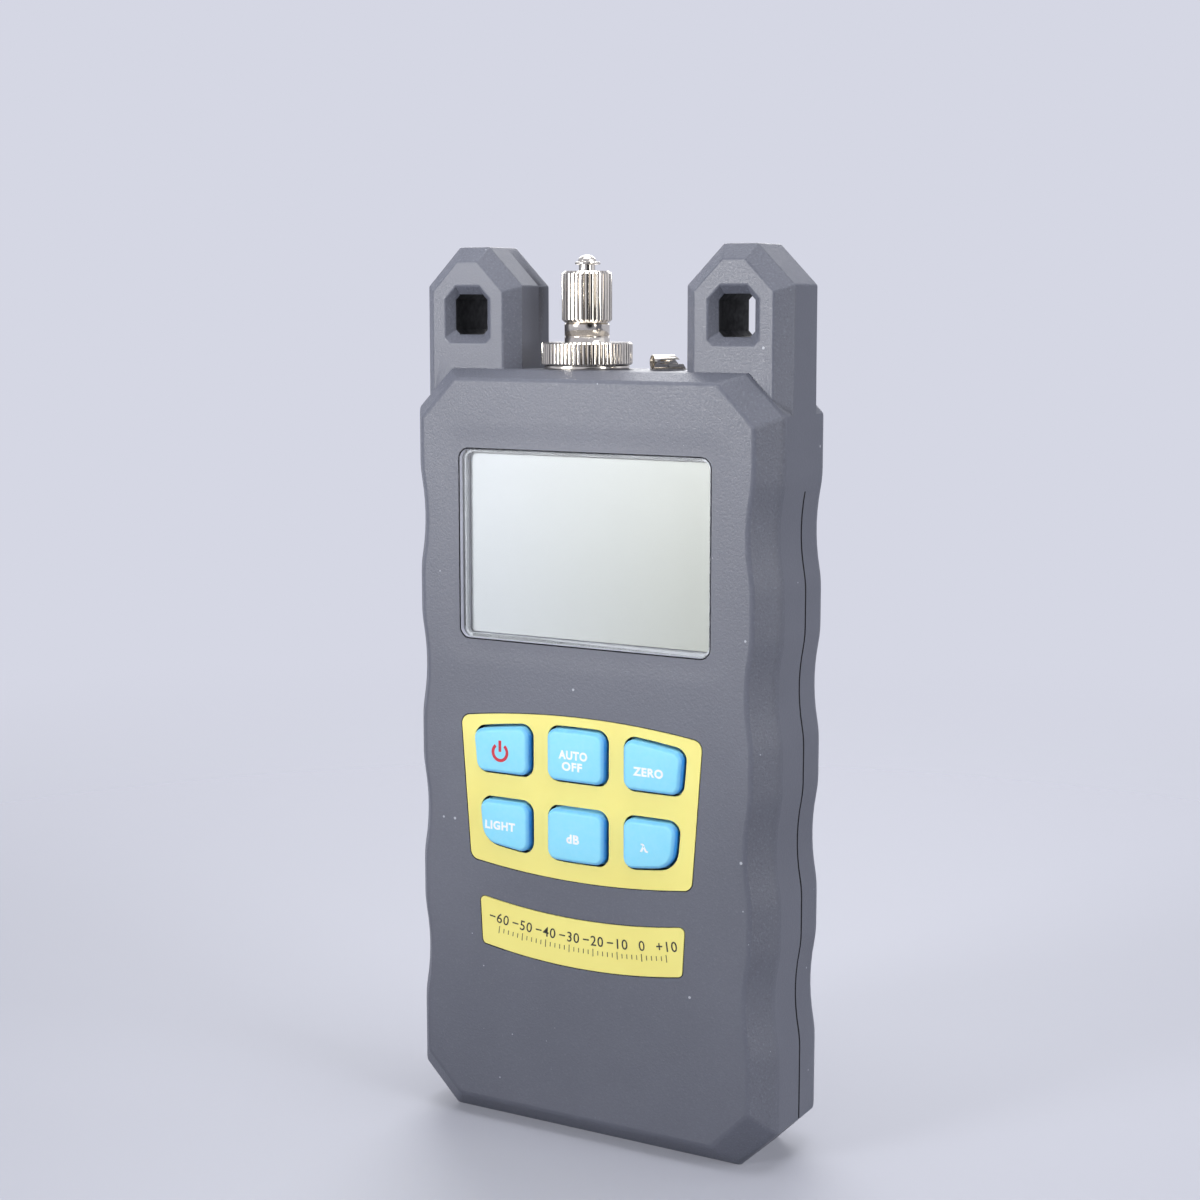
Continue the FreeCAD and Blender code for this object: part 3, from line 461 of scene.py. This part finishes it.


# The slot of a shell's face: 1 for painted shade in deep, unlit places, such as the gaps round the keys, pane
# and labels, the seam's groove and the strap eyes, 2 for a painted reflection on the wall behind the pane,
# and 0 for the rest.
def shellSlot(middle, faceY, outward, panel=panelShape, seam=seamShape, eye=strapEye):
    if outward < 0 and inPanel(middle):
        atWindow = middle.z > panel["windowFoot"]
        if atWindow and panel["paneBack"] < middle.y < panel["wallBack"]:
            return 2
        skin = panel["dishSkin"] if atWindow else panel["labelSkin"]
        if faceY + skin < middle.y < panel["wallBack"]:
            return 1
    if seam["front"] - near < middle.y < seam["back"] + seam["wider"] + near and middle.z < seam["top"]:
        return 1
    fromEye = Vector((abs(middle.x), middle.y, middle.z)) - mountPlace["strap_eye_right"]
    inEye = abs(fromEye.x) < eye["halfWide"] and abs(fromEye.z) < eye["halfTall"]
    return int(inEye and abs(fromEye.y) < eye["halfDeep"])


# How wide an edge of a shell is rounded: rim, shoulder, corner between the two and horn are told by place.
def roundedBy(edge, faceY, shoulderY, shape=caseShape):
    if turnBetween(edge) < shape["sharpFrom"]:
        return 0
    a, b = (vert.co for vert in edge.verts)
    middle = (a + b) / 2
    closer, farther = sorted((abs(a.y - faceY), abs(b.y - faceY)))
    if farther < near:
        return 0 if inPanel(middle) else shape["rim"]
    if max(abs(a.y - shoulderY), abs(b.y - shoulderY)) < near:
        return shape["topShoulder"] if middle.z > shape["topShoulderFrom"] else shape["shoulder"]
    if closer < near and farther > 0.85 * shape["bevelDepth"]:    # it leads from the rim to the shoulder
        return 0 if inPanel(middle) else shape["corner"]
    onHorn = middle.z > shape["hornFoot"] and abs(middle.x) > shape["hornInner"]
    return shape["horn"] if onHorn and abs(middle.y - seamShape["front"]) > near else 0


# The solid's own dish round the window goes, because windowDish takes its place.
def clearDish(bm, faceY, look=panelShape):
    dish = []
    for face in bm.faces:
        middle = face.calc_center_median()
        sunk = near < middle.y - faceY < look["dishDepth"] + near
        if sunk and face.normal.y < -0.9 and middle.z > look["windowFoot"]:
            dish.append(face)
    bmesh.ops.delete(bm, geom=dish, context="FACES")


# The rear shell's side of the seam's groove moves back a little.
def widenSeam(bm, seam=seamShape):
    for vert in bm.verts:
        if abs(vert.co.y - seam["back"]) < near and vert.co.z < seam["top"]:
            vert.co.y += seam["wider"]


# Painted shade for the shells' deep gaps, the seam's groove and the strap eyes.
shadeMaterial = plain("gapShade", srgb(24, 25, 28), srgb(18, 19, 22), 0.7)


# Outward is -1 for the shell that faces the front and 1 for the one that faces the back.
def roundedShell(nodeName, pieceName, outward, shape=caseShape):
    bm = meshCopy(nodeName, innerFace)
    caseLow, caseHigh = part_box(nodeName)
    faceY = caseLow.y if outward < 0 else caseHigh.y
    shoulderY = faceY - outward * shape["bevelDepth"]
    weight = bm.edges.layers.float.new("bevel_weight_edge")
    for edge in bm.edges:
        edge[weight] = roundedBy(edge, faceY, shoulderY) / shape["shoulder"]    # the widest of them
    if outward < 0:
        clearDish(bm, faceY)
    else:
        widenSeam(bm)
    for face in bm.faces:
        face.material_index = shellSlot(face.calc_center_median(), faceY, outward)
    piece = finishMesh(bm, pieceName)
    rounding = piece.modifiers.new("rounding", "BEVEL")
    rounding.limit_method = "WEIGHT"
    rounding.width = shape["shoulder"]
    rounding.segments = shape["segments"]
    rounding.use_clamp_overlap = False
    flatten = piece.modifiers.new("flatShading", "WEIGHTED_NORMAL")
    flatten.keep_sharp = True
    dress(piece, materials["case_plastic"])
    # Slot 1 is painted shade and slot 2 a painted reflection, as shellSlot gives them.
    piece.data.materials.append(shadeMaterial)
    piece.data.materials.append(materials["tape_white"])
    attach(piece, "housing")
    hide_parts(nodeName)


roundedShell("front_shell", "frontShell", -1)
roundedShell("rear_shell", "rearShell", 1)
print("shells are rounded")


dishShape = {
    "margin": 0.0052,
    "corner": 0.0062,
    "outerCorner": 0.0001,      # the first loop meets the shell's own square edge
    "paneCorner": 0.0023,
    "slope": 0.0042,
    "tighten": 0.6,             # share of the slope by which its corners grow tighter
    "depth": 0.0001,
    "steps": 6,
    "arcs": 8,
    "paneGap": 0.00025,
}


# One place on an upright loop round the window's middle, pushed out by grow, with rounded corners.
def windowPlace(index, arcs, grow, corner, y):
    low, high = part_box("display_window")
    middle = (low + high) / 2
    quarter, step = divmod(index, arcs + 1)
    sideX = (1, -1, -1, 1)[quarter] * ((high.x - low.x) / 2 + grow - corner)
    sideZ = (1, 1, -1, -1)[quarter] * ((high.z - low.z) / 2 + grow - corner)
    turn = math.radians(90) * (quarter + step / arcs)
    return Vector((middle.x + sideX + corner * math.cos(turn), y, middle.z + sideZ + corner * math.sin(turn)))


# The shallow dish round the window: loops from its rim inwards, joined in turn.
def windowDish(look=dishShape):
    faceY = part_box("front_shell")[0].y
    rings = [(look["margin"] + look["paneGap"], look["outerCorner"], faceY)]
    for i in range(look["steps"] + 1):
        share = i / look["steps"]
        sunk = look["depth"] * (0.5 - 0.5 * math.cos(math.pi * share))
        grow = look["margin"] + look["paneGap"] - look["slope"] * share
        rings.append((grow, look["corner"] - look["slope"] * share * look["tighten"], faceY + sunk))
    rings.append((look["paneGap"], look["paneCorner"], faceY + look["depth"]))
    bm = bmesh.new()
    loops = []
    for grow, corner, y in rings:
        places = [windowPlace(i, look["arcs"], grow, corner, y) for i in range(4 * (look["arcs"] + 1))]
        loops.append([bm.verts.new(place) for place in places])
    for first, second in zip(loops, loops[1:]):
        joinLoops(bm, first, second)
    bmesh.ops.recalc_face_normals(bm, faces=bm.faces)
    if sum(f.normal.y * f.calc_area() for f in bm.faces) > 0:
        bmesh.ops.reverse_faces(bm, faces=bm.faces)
    piece = finishMesh(bm, "windowDish", 60)
    dress(piece, materials["case_plastic"])
    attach(piece, "housing")


# The pane with softened rims and frosted, pale cut edges.
def windowPane():
    bm = meshCopy("display_window")
    rims = [e for e in bm.edges if turnBetween(e) > 60]
    bmesh.ops.bevel(bm, geom=rims, offset=0.08 * mm, offset_type="OFFSET", affect="EDGES", segments=1,
                    profile=0.5, material=-1, clamp_overlap=True)
    bm.normal_update()
    for face in bm.faces:
        face.material_index = int(abs(face.normal.y) < 0.3)
    piece = finishMesh(bm, "windowPane")
    dress(piece, materials["window_clear"])
    piece.data.materials.append(plain("paneEdge", srgb(206, 207, 222), srgb(186, 187, 203), 0.4))
    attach(piece, "housing")
    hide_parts("display_window")


windowDish()
windowPane()
print("window is in")


keyShape = {
    "edge": 0.00024,
    "rimDepth": 0.001,          # level edges closer to the front than this are the face's rim
    "segments": 3,
    "legend": srgb(250, 252, 255),
    "powerLegend": srgb(205, 22, 50),
    "inkThick": 0.00002,
    "inkWeight": 0.042,
}
keyNames = ["power_key", "auto_off_key", "zero_key", "light_key", "decibel_key", "wavelength_key"]


def softKey(nodeName, shape=keyShape):
    bm = meshCopy(nodeName)
    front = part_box(nodeName)[0].y
    rim = []
    for edge in bm.edges:
        a, b = (vert.co.y for vert in edge.verts)
        if turnBetween(edge) > 20 and (a + b) / 2 < front + shape["rimDepth"] and abs(a - b) < near:
            rim.append(edge)
    bmesh.ops.bevel(bm, geom=rim, offset=shape["edge"], offset_type="OFFSET", affect="EDGES",
                    segments=shape["segments"], profile=0.5, material=-1, clamp_overlap=False)
    piece = finishMesh(bm, nodeName + "_cap", 40)
    dress(piece, materials["key_blue"])
    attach(piece, nodeName + "_cap")
    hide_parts(nodeName)


for keyName in keyNames:
    softKey(keyName)


def inkMaterial(name, colour):
    material, tree, shader = newMaterial(name, colour, 0.35)
    shade = tuple(c * 0.93 for c in colour[:3]) + (1.0,)
    tree.links.new(blendColour(tree, spread(tree, noise(tree, 1500, 2), 0.3, 0.7, 0, 1), colour, shade),
                   shader.inputs["Base Color"])
    return material


whiteInk = inkMaterial("legendWhite", keyShape["legend"])
redInk = inkMaterial("legendRed", keyShape["powerLegend"])
blackInk = inkMaterial("scaleBlack", srgb(34, 34, 30))


# Flat lettering as a thin, centred mesh that faces the front. Without a width it keeps the font's own.
def lettering(words, width, height, thick, weight=0.0):
    curve = bpy.data.curves.new("words", "FONT")
    curve.body = words
    curve.offset = weight
    curve.space_character = 1.12
    curve.extrude = 0.5    # one unit in all, which the last scaling makes as thick as asked
    curve.resolution_u = 6
    holder = bpy.data.objects.new("words", curve)
    bpy.context.scene.collection.objects.link(holder)
    bpy.context.view_layer.update()
    mesh = bpy.data.meshes.new_from_object(holder.evaluated_get(bpy.context.evaluated_depsgraph_get()))
    bpy.data.objects.remove(holder)
    bpy.data.curves.remove(curve)
    xs = [v.co.x for v in mesh.vertices]
    ys = [v.co.y for v in mesh.vertices]
    centre = Vector(((min(xs) + max(xs)) / 2, (min(ys) + max(ys)) / 2, 0))
    size = Vector((max(xs) - min(xs), max(ys) - min(ys), 1))
    tall = height / size.y
    wide = width / size.x if width else tall
    mesh.transform(Matrix.Translation(-centre))
    mesh.transform(Matrix.Diagonal((wide, tall, thick, 1)))
    mesh.transform(Matrix.Rotation(math.radians(90), 4, "X"))
    return mesh


def placeInk(mesh, name, place, material, body, turn=0.0):
    mesh.transform(Matrix.Translation(place) @ Matrix.Rotation(turn, 4, "Y"))
    mesh.name = name
    piece = newPiece(name, mesh)
    dress(piece, material)
    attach(piece, body)


# The place on a node's front that lies x to the right of its middle and z above it, in millimetres.
def onFront(nodeName, x, z):
    low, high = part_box(nodeName)
    return Vector(((low.x + high.x) / 2 + x * mm, low.y, (low.z + high.z) / 2 + z * mm))


# Each legend: words, distances right of the key's middle and above it, width and height, in millimetres.
legends = {
    "auto_off_key": [("AUTO", -0.3, 0.24, 6.45, 1.75), ("OFF", -0.5, -2.0, 4.56, 1.75)],
    "zero_key": [("ZERO", -0.65, -0.987, 6.5, 1.75)],
    "light_key": [("LIGHT", -0.778, -0.083, 7.0, 1.75)],
    "decibel_key": [("dB", -0.35, -0.43, 2.9, 1.8)],
    "wavelength_key": [("λ", -0.842, -0.363, 1.8, 1.65)],
}
for keyName, lines in legends.items():
    for number, (words, x, z, width, height) in enumerate(lines):
        mesh = lettering(words, width * mm, height * mm, keyShape["inkThick"], keyShape["inkWeight"])
        place = onFront(keyName, x, z)
        placeInk(mesh, keyName + "_legend_" + str(number + 1), place, whiteInk, keyName + "_cap")


# The mark's middle counts from the key's middle, and all but the gap is in millimetres.
powerMark = {
    "x": -0.09,
    "z": -0.607,
    "radius": 1.95,
    "stroke": 0.64,
    "gap": 38,          # degrees to each side of the bar
    "barTop": 2.35,
    "barFoot": 0.1,
    "steps": 40,
}


# The ring, open at its top, is a short stroke spun round, and the bar is a grid.
def powerSymbol(look=powerMark):
    bm = bmesh.new()
    half = look["stroke"] * mm / 2
    outer = look["radius"] * mm
    start = Matrix.Rotation(math.radians(look["gap"]), 4, "Y")
    low = bm.verts.new(start @ Vector((0, 0, outer - 2 * half)))
    high = bm.verts.new(start @ Vector((0, 0, outer)))
    edge = bm.edges.new((low, high))
    bmesh.ops.spin(bm, geom=[low, high, edge], cent=(0, 0, 0), axis=(0, 1, 0), steps=look["steps"],
                   angle=math.radians(360 - 2 * look["gap"]))
    foot, top = look["barFoot"] * mm, look["barTop"] * mm
    bar = bmesh.ops.create_grid(bm, x_segments=1, y_segments=1, size=0.5)["verts"]
    bmesh.ops.scale(bm, vec=(2 * half, top - foot, 1), verts=bar)
    bmesh.ops.rotate(bm, cent=(0, 0, 0), matrix=Matrix.Rotation(math.radians(90), 3, "X"), verts=bar)
    bmesh.ops.translate(bm, vec=(0, 0, (top + foot) / 2), verts=bar)
    bmesh.ops.recalc_face_normals(bm, faces=bm.faces)
    grown = bmesh.ops.extrude_face_region(bm, geom=bm.faces[:])["geom"]
    moved = [v for v in grown if isinstance(v, bmesh.types.BMVert)]
    bmesh.ops.translate(bm, vec=(0, -keyShape["inkThick"], 0), verts=moved)
    faceOutwards(bm)
    mesh = bpy.data.meshes.new("powerSymbol")
    bm.to_mesh(mesh)
    bm.free()
    place = onFront("power_key", look["x"], look["z"])
    placeInk(mesh, "power_key_legend", place, redInk, "power_key_cap")


powerSymbol()
print("keys and legends are made")


# A plain scale of numbers that follows the plate's sag, in millimetres.
plateScale = {
    "first": -60,
    "last": 10,
    "step": 10,
    "reach": 19.0,
    "sag": 1.95,
    "numberRise": 1.0,
    "tickDrop": 1.35,
    "numberHeight": 2.0,
    "numberWeight": 0.008,
    "longTick": 1.5,
    "shortTick": 0.9,
    "tickWide": 0.16,
    "line": 7.0,    # height of the numbers' line above the plate's foot, at the plate's ends
}


def plateNumbers(look=plateScale):
    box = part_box("name_plate")
    half = box[1].x / mm
    foot = box[0].z / mm
    faceY = box[0].y

    def level(x):
        return foot + look["line"] - look["sag"] * (1 - (x / half) ** 2)

    def lean(x):
        return -math.atan(2 * look["sag"] * x / half ** 2)

    count = (look["last"] - look["first"]) // look["step"]
    spacing = 2 * look["reach"] / count
    for i in range(count + 1):
        x = -look["reach"] + i * spacing
        value = look["first"] + i * look["step"]
        words = ("+" if value > 0 else "−" if value < 0 else "") + str(abs(value))
        mesh = lettering(words, None, look["numberHeight"] * mm, keyShape["inkThick"], look["numberWeight"])
        placeInk(mesh, "scale_number_" + str(i + 1), (x * mm, faceY, (level(x) + look["numberRise"]) * mm),
                 blackInk, "housing", lean(x))
    bm = bmesh.new()
    for i in range(5 * count + 1):
        x = -look["reach"] + i * spacing / 5
        tall = look["longTick"] if i % 5 == 0 else look["shortTick"]
        verts = bmesh.ops.create_cube(bm, size=1)["verts"]
        bmesh.ops.scale(bm, vec=(look["tickWide"] * mm, 2 * keyShape["inkThick"], tall * mm), verts=verts)
        bmesh.ops.rotate(bm, cent=(0, 0, 0), matrix=Matrix.Rotation(lean(x), 3, "Y"), verts=verts)
        bmesh.ops.translate(bm, vec=(x * mm, faceY, (level(x) - look["tickDrop"]) * mm), verts=verts)
    mesh = bpy.data.meshes.new("scaleTicks")
    bm.to_mesh(mesh)
    bm.free()
    placeInk(mesh, "scale_ticks", (0, 0, 0), blackInk, "housing")


plateNumbers()
print("name plate is marked")


# Above and below list the rings over and under the ridged wall: a radius, and a height counted from the
# piece's top, or None for its foot.
metalShape = {
    "dust_cap": {
        "ridges": 30,
        "groove": 0.00036,
        "chamfer": 0.00055,
        "top": -0.0012,
        "above": [(0.0016, -0.0012), (0.0016, 0.0)],
        "below": [(0.00395, -0.0032), (0.00395, None)],
    },
    "adapter_ring": {
        "ridges": 60,
        "groove": 0.0003,
        "chamfer": 0.00032,
        "top": 0.0,
        "above": [(0.00445, 0.0), (0.00445, -0.001)],
        "below": [(0.00645, -0.001), (0.00645, None)],
    },
    "groovePart": (1.0, 0.14, 0.0, 0.0, 0.0, 0.14),    # depth shares of the places round one ridge
    "bend": (0.45, 0.55),    # shares of the chamfer's height and inset at its middle
}


# One ring of vertices round the port's axis. The groove attribute keeps how deep each is cut, for the painted
# shade in the grooves.
def axisRing(bm, count, radius, centre, z, groove=0.0, limit=1.0):
    verts = bmesh.ops.create_circle(bm, segments=count, radius=1)["verts"]
    grooveShade = bm.verts.layers.float.get("groove")
    parts = metalShape["groovePart"]
    for i, vert in enumerate(verts):
        part = parts[i % len(parts)]
        vert.co *= min(radius - groove * part, limit)
        vert.co += Vector((centre.x, centre.y, z))
        vert[grooveShade] = part if groove else 0.0
    return verts


# A knurled cap or ring: rings from the bore up the ridged wall and over the top, joined in turn.
def knurledPiece(nodeName, pieceName, body):
    look = metalShape[nodeName]
    low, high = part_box(nodeName)
    centre = (low + high) / 2
    radius = (high.x - low.x) / 2
    chamfer = look["chamfer"]
    count = look["ridges"] * len(metalShape["groovePart"])
    wallTop = high.z + look["top"]
    rise, inset = metalShape["bend"]
    walls = [(low.z, 1.0), (low.z + chamfer * rise, inset), (low.z + chamfer, 0.0),
             (wallTop - chamfer, 0.0), (wallTop - chamfer * rise, inset), (wallTop, 1.0)]
    bm = bmesh.new()
    bm.verts.layers.float.new("groove")
    chain = [axisRing(bm, count, r, centre, low.z if z is None else high.z + z) for r, z in look["below"]]
    for z, share in walls:
        chain.append(axisRing(bm, count, radius, centre, z, look["groove"], radius - chamfer * share))
    chain += [axisRing(bm, count, r, centre, high.z + z) for r, z in look["above"]]
    if nodeName == "adapter_ring":
        chain.append(chain[0])
    else:
        bm.faces.new(chain[0])
        bm.faces.new(chain[-1])
    for first, second in zip(chain, chain[1:]):
        joinLoops(bm, first, second)
    faceOutwards(bm)
    piece = finishMesh(bm, pieceName, 24)
    dress(piece, materials["nickel_plate"])
    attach(piece, body)
    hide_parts(nodeName)


knurledPiece("dust_cap", "dustCap", "port_cap")
knurledPiece("adapter_ring", "adapterRing", "port_ring")

bodyOf = {node: body for body, names in frame["record"]["behaviour"]["bodies"].items() for node in names}


# A copy of a CAD node with smooth shading and, where a width is given, its sharp edges bevelled by it.
def softCopy(nodeName, pieceName, width):
    bm = meshCopy(nodeName)
    if width:
        edges = [e for e in bm.edges if turnBetween(e) > 40]
        bmesh.ops.bevel(bm, geom=edges, offset=width, offset_type="OFFSET", affect="EDGES", segments=2,
                        profile=0.5, material=-1, clamp_overlap=True)
    piece = finishMesh(bm, pieceName, 30)
    dress(piece, materials[slotOf[nodeName]])
    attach(piece, bodyOf[nodeName])
    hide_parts(nodeName)


softPieces = {
    "fibre_adapter": ("fibreAdapter", 0.0),
    "port_bushing": ("portBushing", 0.00012),
    "swivel_ring": ("swivelRing", 0.00014),
    "cap_rivet": ("capRivet", 0.0),
    "tether_clip": ("tetherClip", 0.00008),
    "clip_pin": ("clipPin", 0.00008),
}
for nodeName, (pieceName, width) in softPieces.items():
    softCopy(nodeName, pieceName, width)
print("port and clip are made")


# The floor fades into the backdrop with its distance from the part.
studio = {
    "backdrop": srgb(213, 215, 228),
    "floor": srgb(175, 177, 189),
    "floorSize": 3.0,
    "fadeFrom": 0.08,
    "fadeTo": 0.6,
    "nearShare": 0.2,
    "worldLight": 0.08,
    "mirrored": 0.85,                   # the backdrop's strength in reflections
    "darkSide": (0.72, -0.69, -0.05),   # the way to a dark patch that only reflections show
    "darkFrom": 0.89,
    "darkTo": 0.98,
    "darkLevel": 0.03,
}


def studioFloor(look=studio):
    bm = bmesh.new()
    bmesh.ops.create_circle(bm, cap_ends=True, segments=96, radius=look["floorSize"])
    mesh = bpy.data.meshes.new("studioFloor")
    bm.to_mesh(mesh)
    bm.free()
    floor = newPiece("studioFloor", mesh)
    material, tree, shader = newMaterial("floorPaper", look["floor"], 0.6)
    length = addNode(tree, "ShaderNodeVectorMath", operation="LENGTH")
    tree.links.new(objectCoords(tree), length.inputs[0])
    fade = spread(tree, length.outputs["Value"], look["fadeFrom"], look["fadeTo"], look["nearShare"], 1)
    fade.node.interpolation_type = "SMOOTHSTEP"
    clear = addNode(tree, "ShaderNodeBsdfTransparent")
    mix = addNode(tree, "ShaderNodeMixShader")
    tree.links.new(fade, mix.inputs[0])
    tree.links.new(shader.outputs[0], mix.inputs[1])
    tree.links.new(clear.outputs[0], mix.inputs[2])
    tree.links.new(mix.outputs[0], tree.nodes["Material Output"].inputs["Surface"])
    dress(floor, material)


def studioWorld(look=studio):
    world = bpy.data.worlds.new("studioWorld")
    bpy.context.scene.world = world
    world.use_nodes = True
    tree = world.node_tree
    back = tree.nodes["Background"]
    back.inputs["Color"].default_value = look["backdrop"]
    back.inputs["Strength"].default_value = look["worldLight"]
    seen = addNode(tree, "ShaderNodeBackground")
    seen.inputs["Color"].default_value = look["backdrop"]
    seen.inputs["Strength"].default_value = 1.0
    path = addNode(tree, "ShaderNodeLightPath")
    direct = combine(tree, "MAXIMUM", path.outputs["Is Camera Ray"], path.outputs["Is Transmission Ray"])
    mirrored = addNode(tree, "ShaderNodeBackground")
    mirrored.inputs["Color"].default_value = look["backdrop"]
    turned = addNode(tree, "ShaderNodeVectorMath", operation="DOT_PRODUCT")
    tree.links.new(addNode(tree, "ShaderNodeTexCoord").outputs["Generated"], turned.inputs[0])
    turned.inputs[1].default_value = look["darkSide"]
    strength = spread(tree, turned.outputs["Value"], look["darkFrom"], look["darkTo"], look["mirrored"],
                      look["darkLevel"])
    tree.links.new(strength, mirrored.inputs["Strength"])
    last = back.outputs[0]
    for ray, source in ((path.outputs["Is Glossy Ray"], mirrored), (direct, seen)):
        mix = addNode(tree, "ShaderNodeMixShader")
        tree.links.new(ray, mix.inputs[0])
        tree.links.new(last, mix.inputs[1])
        tree.links.new(source.outputs[0], mix.inputs[2])
        last = mix.outputs[0]
    tree.links.new(last, tree.nodes["World Output"].inputs["Surface"])


lamps = {
    "keyBox": {
        "place": (-0.34, -0.72, 0.3), "aim": (0.0, 0.0, 0.26),
        "size": (0.25, 0.25), "power": 0.69, "spread": 50,
    },
    "leftFront": {
        "place": (-0.42, -0.72, 0.2), "aim": (0.0, 0.0, 0.14),
        "size": (0.35, 0.35), "power": 0.85, "spread": 170,
    },
    "right": {
        "place": (0.9, -0.1, 0.4), "aim": (0.0, 0.0, 0.08),
        "size": (0.5, 0.8), "power": 5.3, "spread": 170,
    },
    "rightRear": {
        "place": (0.75, 0.5, 0.5), "aim": (0.0, 0.0, 0.08),
        "size": (0.5, 0.8), "power": 0.5, "spread": 170,
    },
    "rear": {
        "place": (-0.45, 0.8, 0.6), "aim": (0.0, 0.0, 0.08),
        "size": (0.8, 0.5), "power": 5.5, "spread": 170,
    },
    "top": {
        "place": (0.0, 0.0, 1.1), "aim": (0.0, 0.0, 0.0),
        "size": (0.8, 0.8), "power": 7.0, "spread": 170,
    },
}


def addLamp(name, look):
    data = bpy.data.lights.new(name, "AREA")
    data.shape = "RECTANGLE"
    data.size, data.size_y = look["size"]
    data.energy = look["power"]
    data.spread = math.radians(look["spread"])
    lamp = bpy.data.objects.new(name, data)
    bpy.context.scene.collection.objects.link(lamp)
    lamp.visible_camera = False
    lamp.location = look["place"]
    lamp.rotation_euler = (Vector(look["aim"]) - Vector(look["place"])).to_track_quat("-Z", "Y").to_euler()


view = {
    "place": (0.20935, -0.36187, 0.1641),
    "yaw": 30.47,
    "pitch": 7.86,
    "lens": 64.53,
}


def addCamera(look=view):
    data = bpy.data.cameras.new("camera")
    data.lens = look["lens"]
    data.sensor_width = 36
    camera = bpy.data.objects.new("camera", data)
    bpy.context.scene.collection.objects.link(camera)
    camera.location = look["place"]
    camera.rotation_euler = (math.radians(90 - look["pitch"]), 0, math.radians(look["yaw"]))
    bpy.context.scene.camera = camera


studioFloor()
studioWorld()
for lampName, lampLook in lamps.items():
    addLamp(lampName, lampLook)
addCamera()
bpy.context.scene.view_settings.view_transform = "Standard"
print("studio is lit")
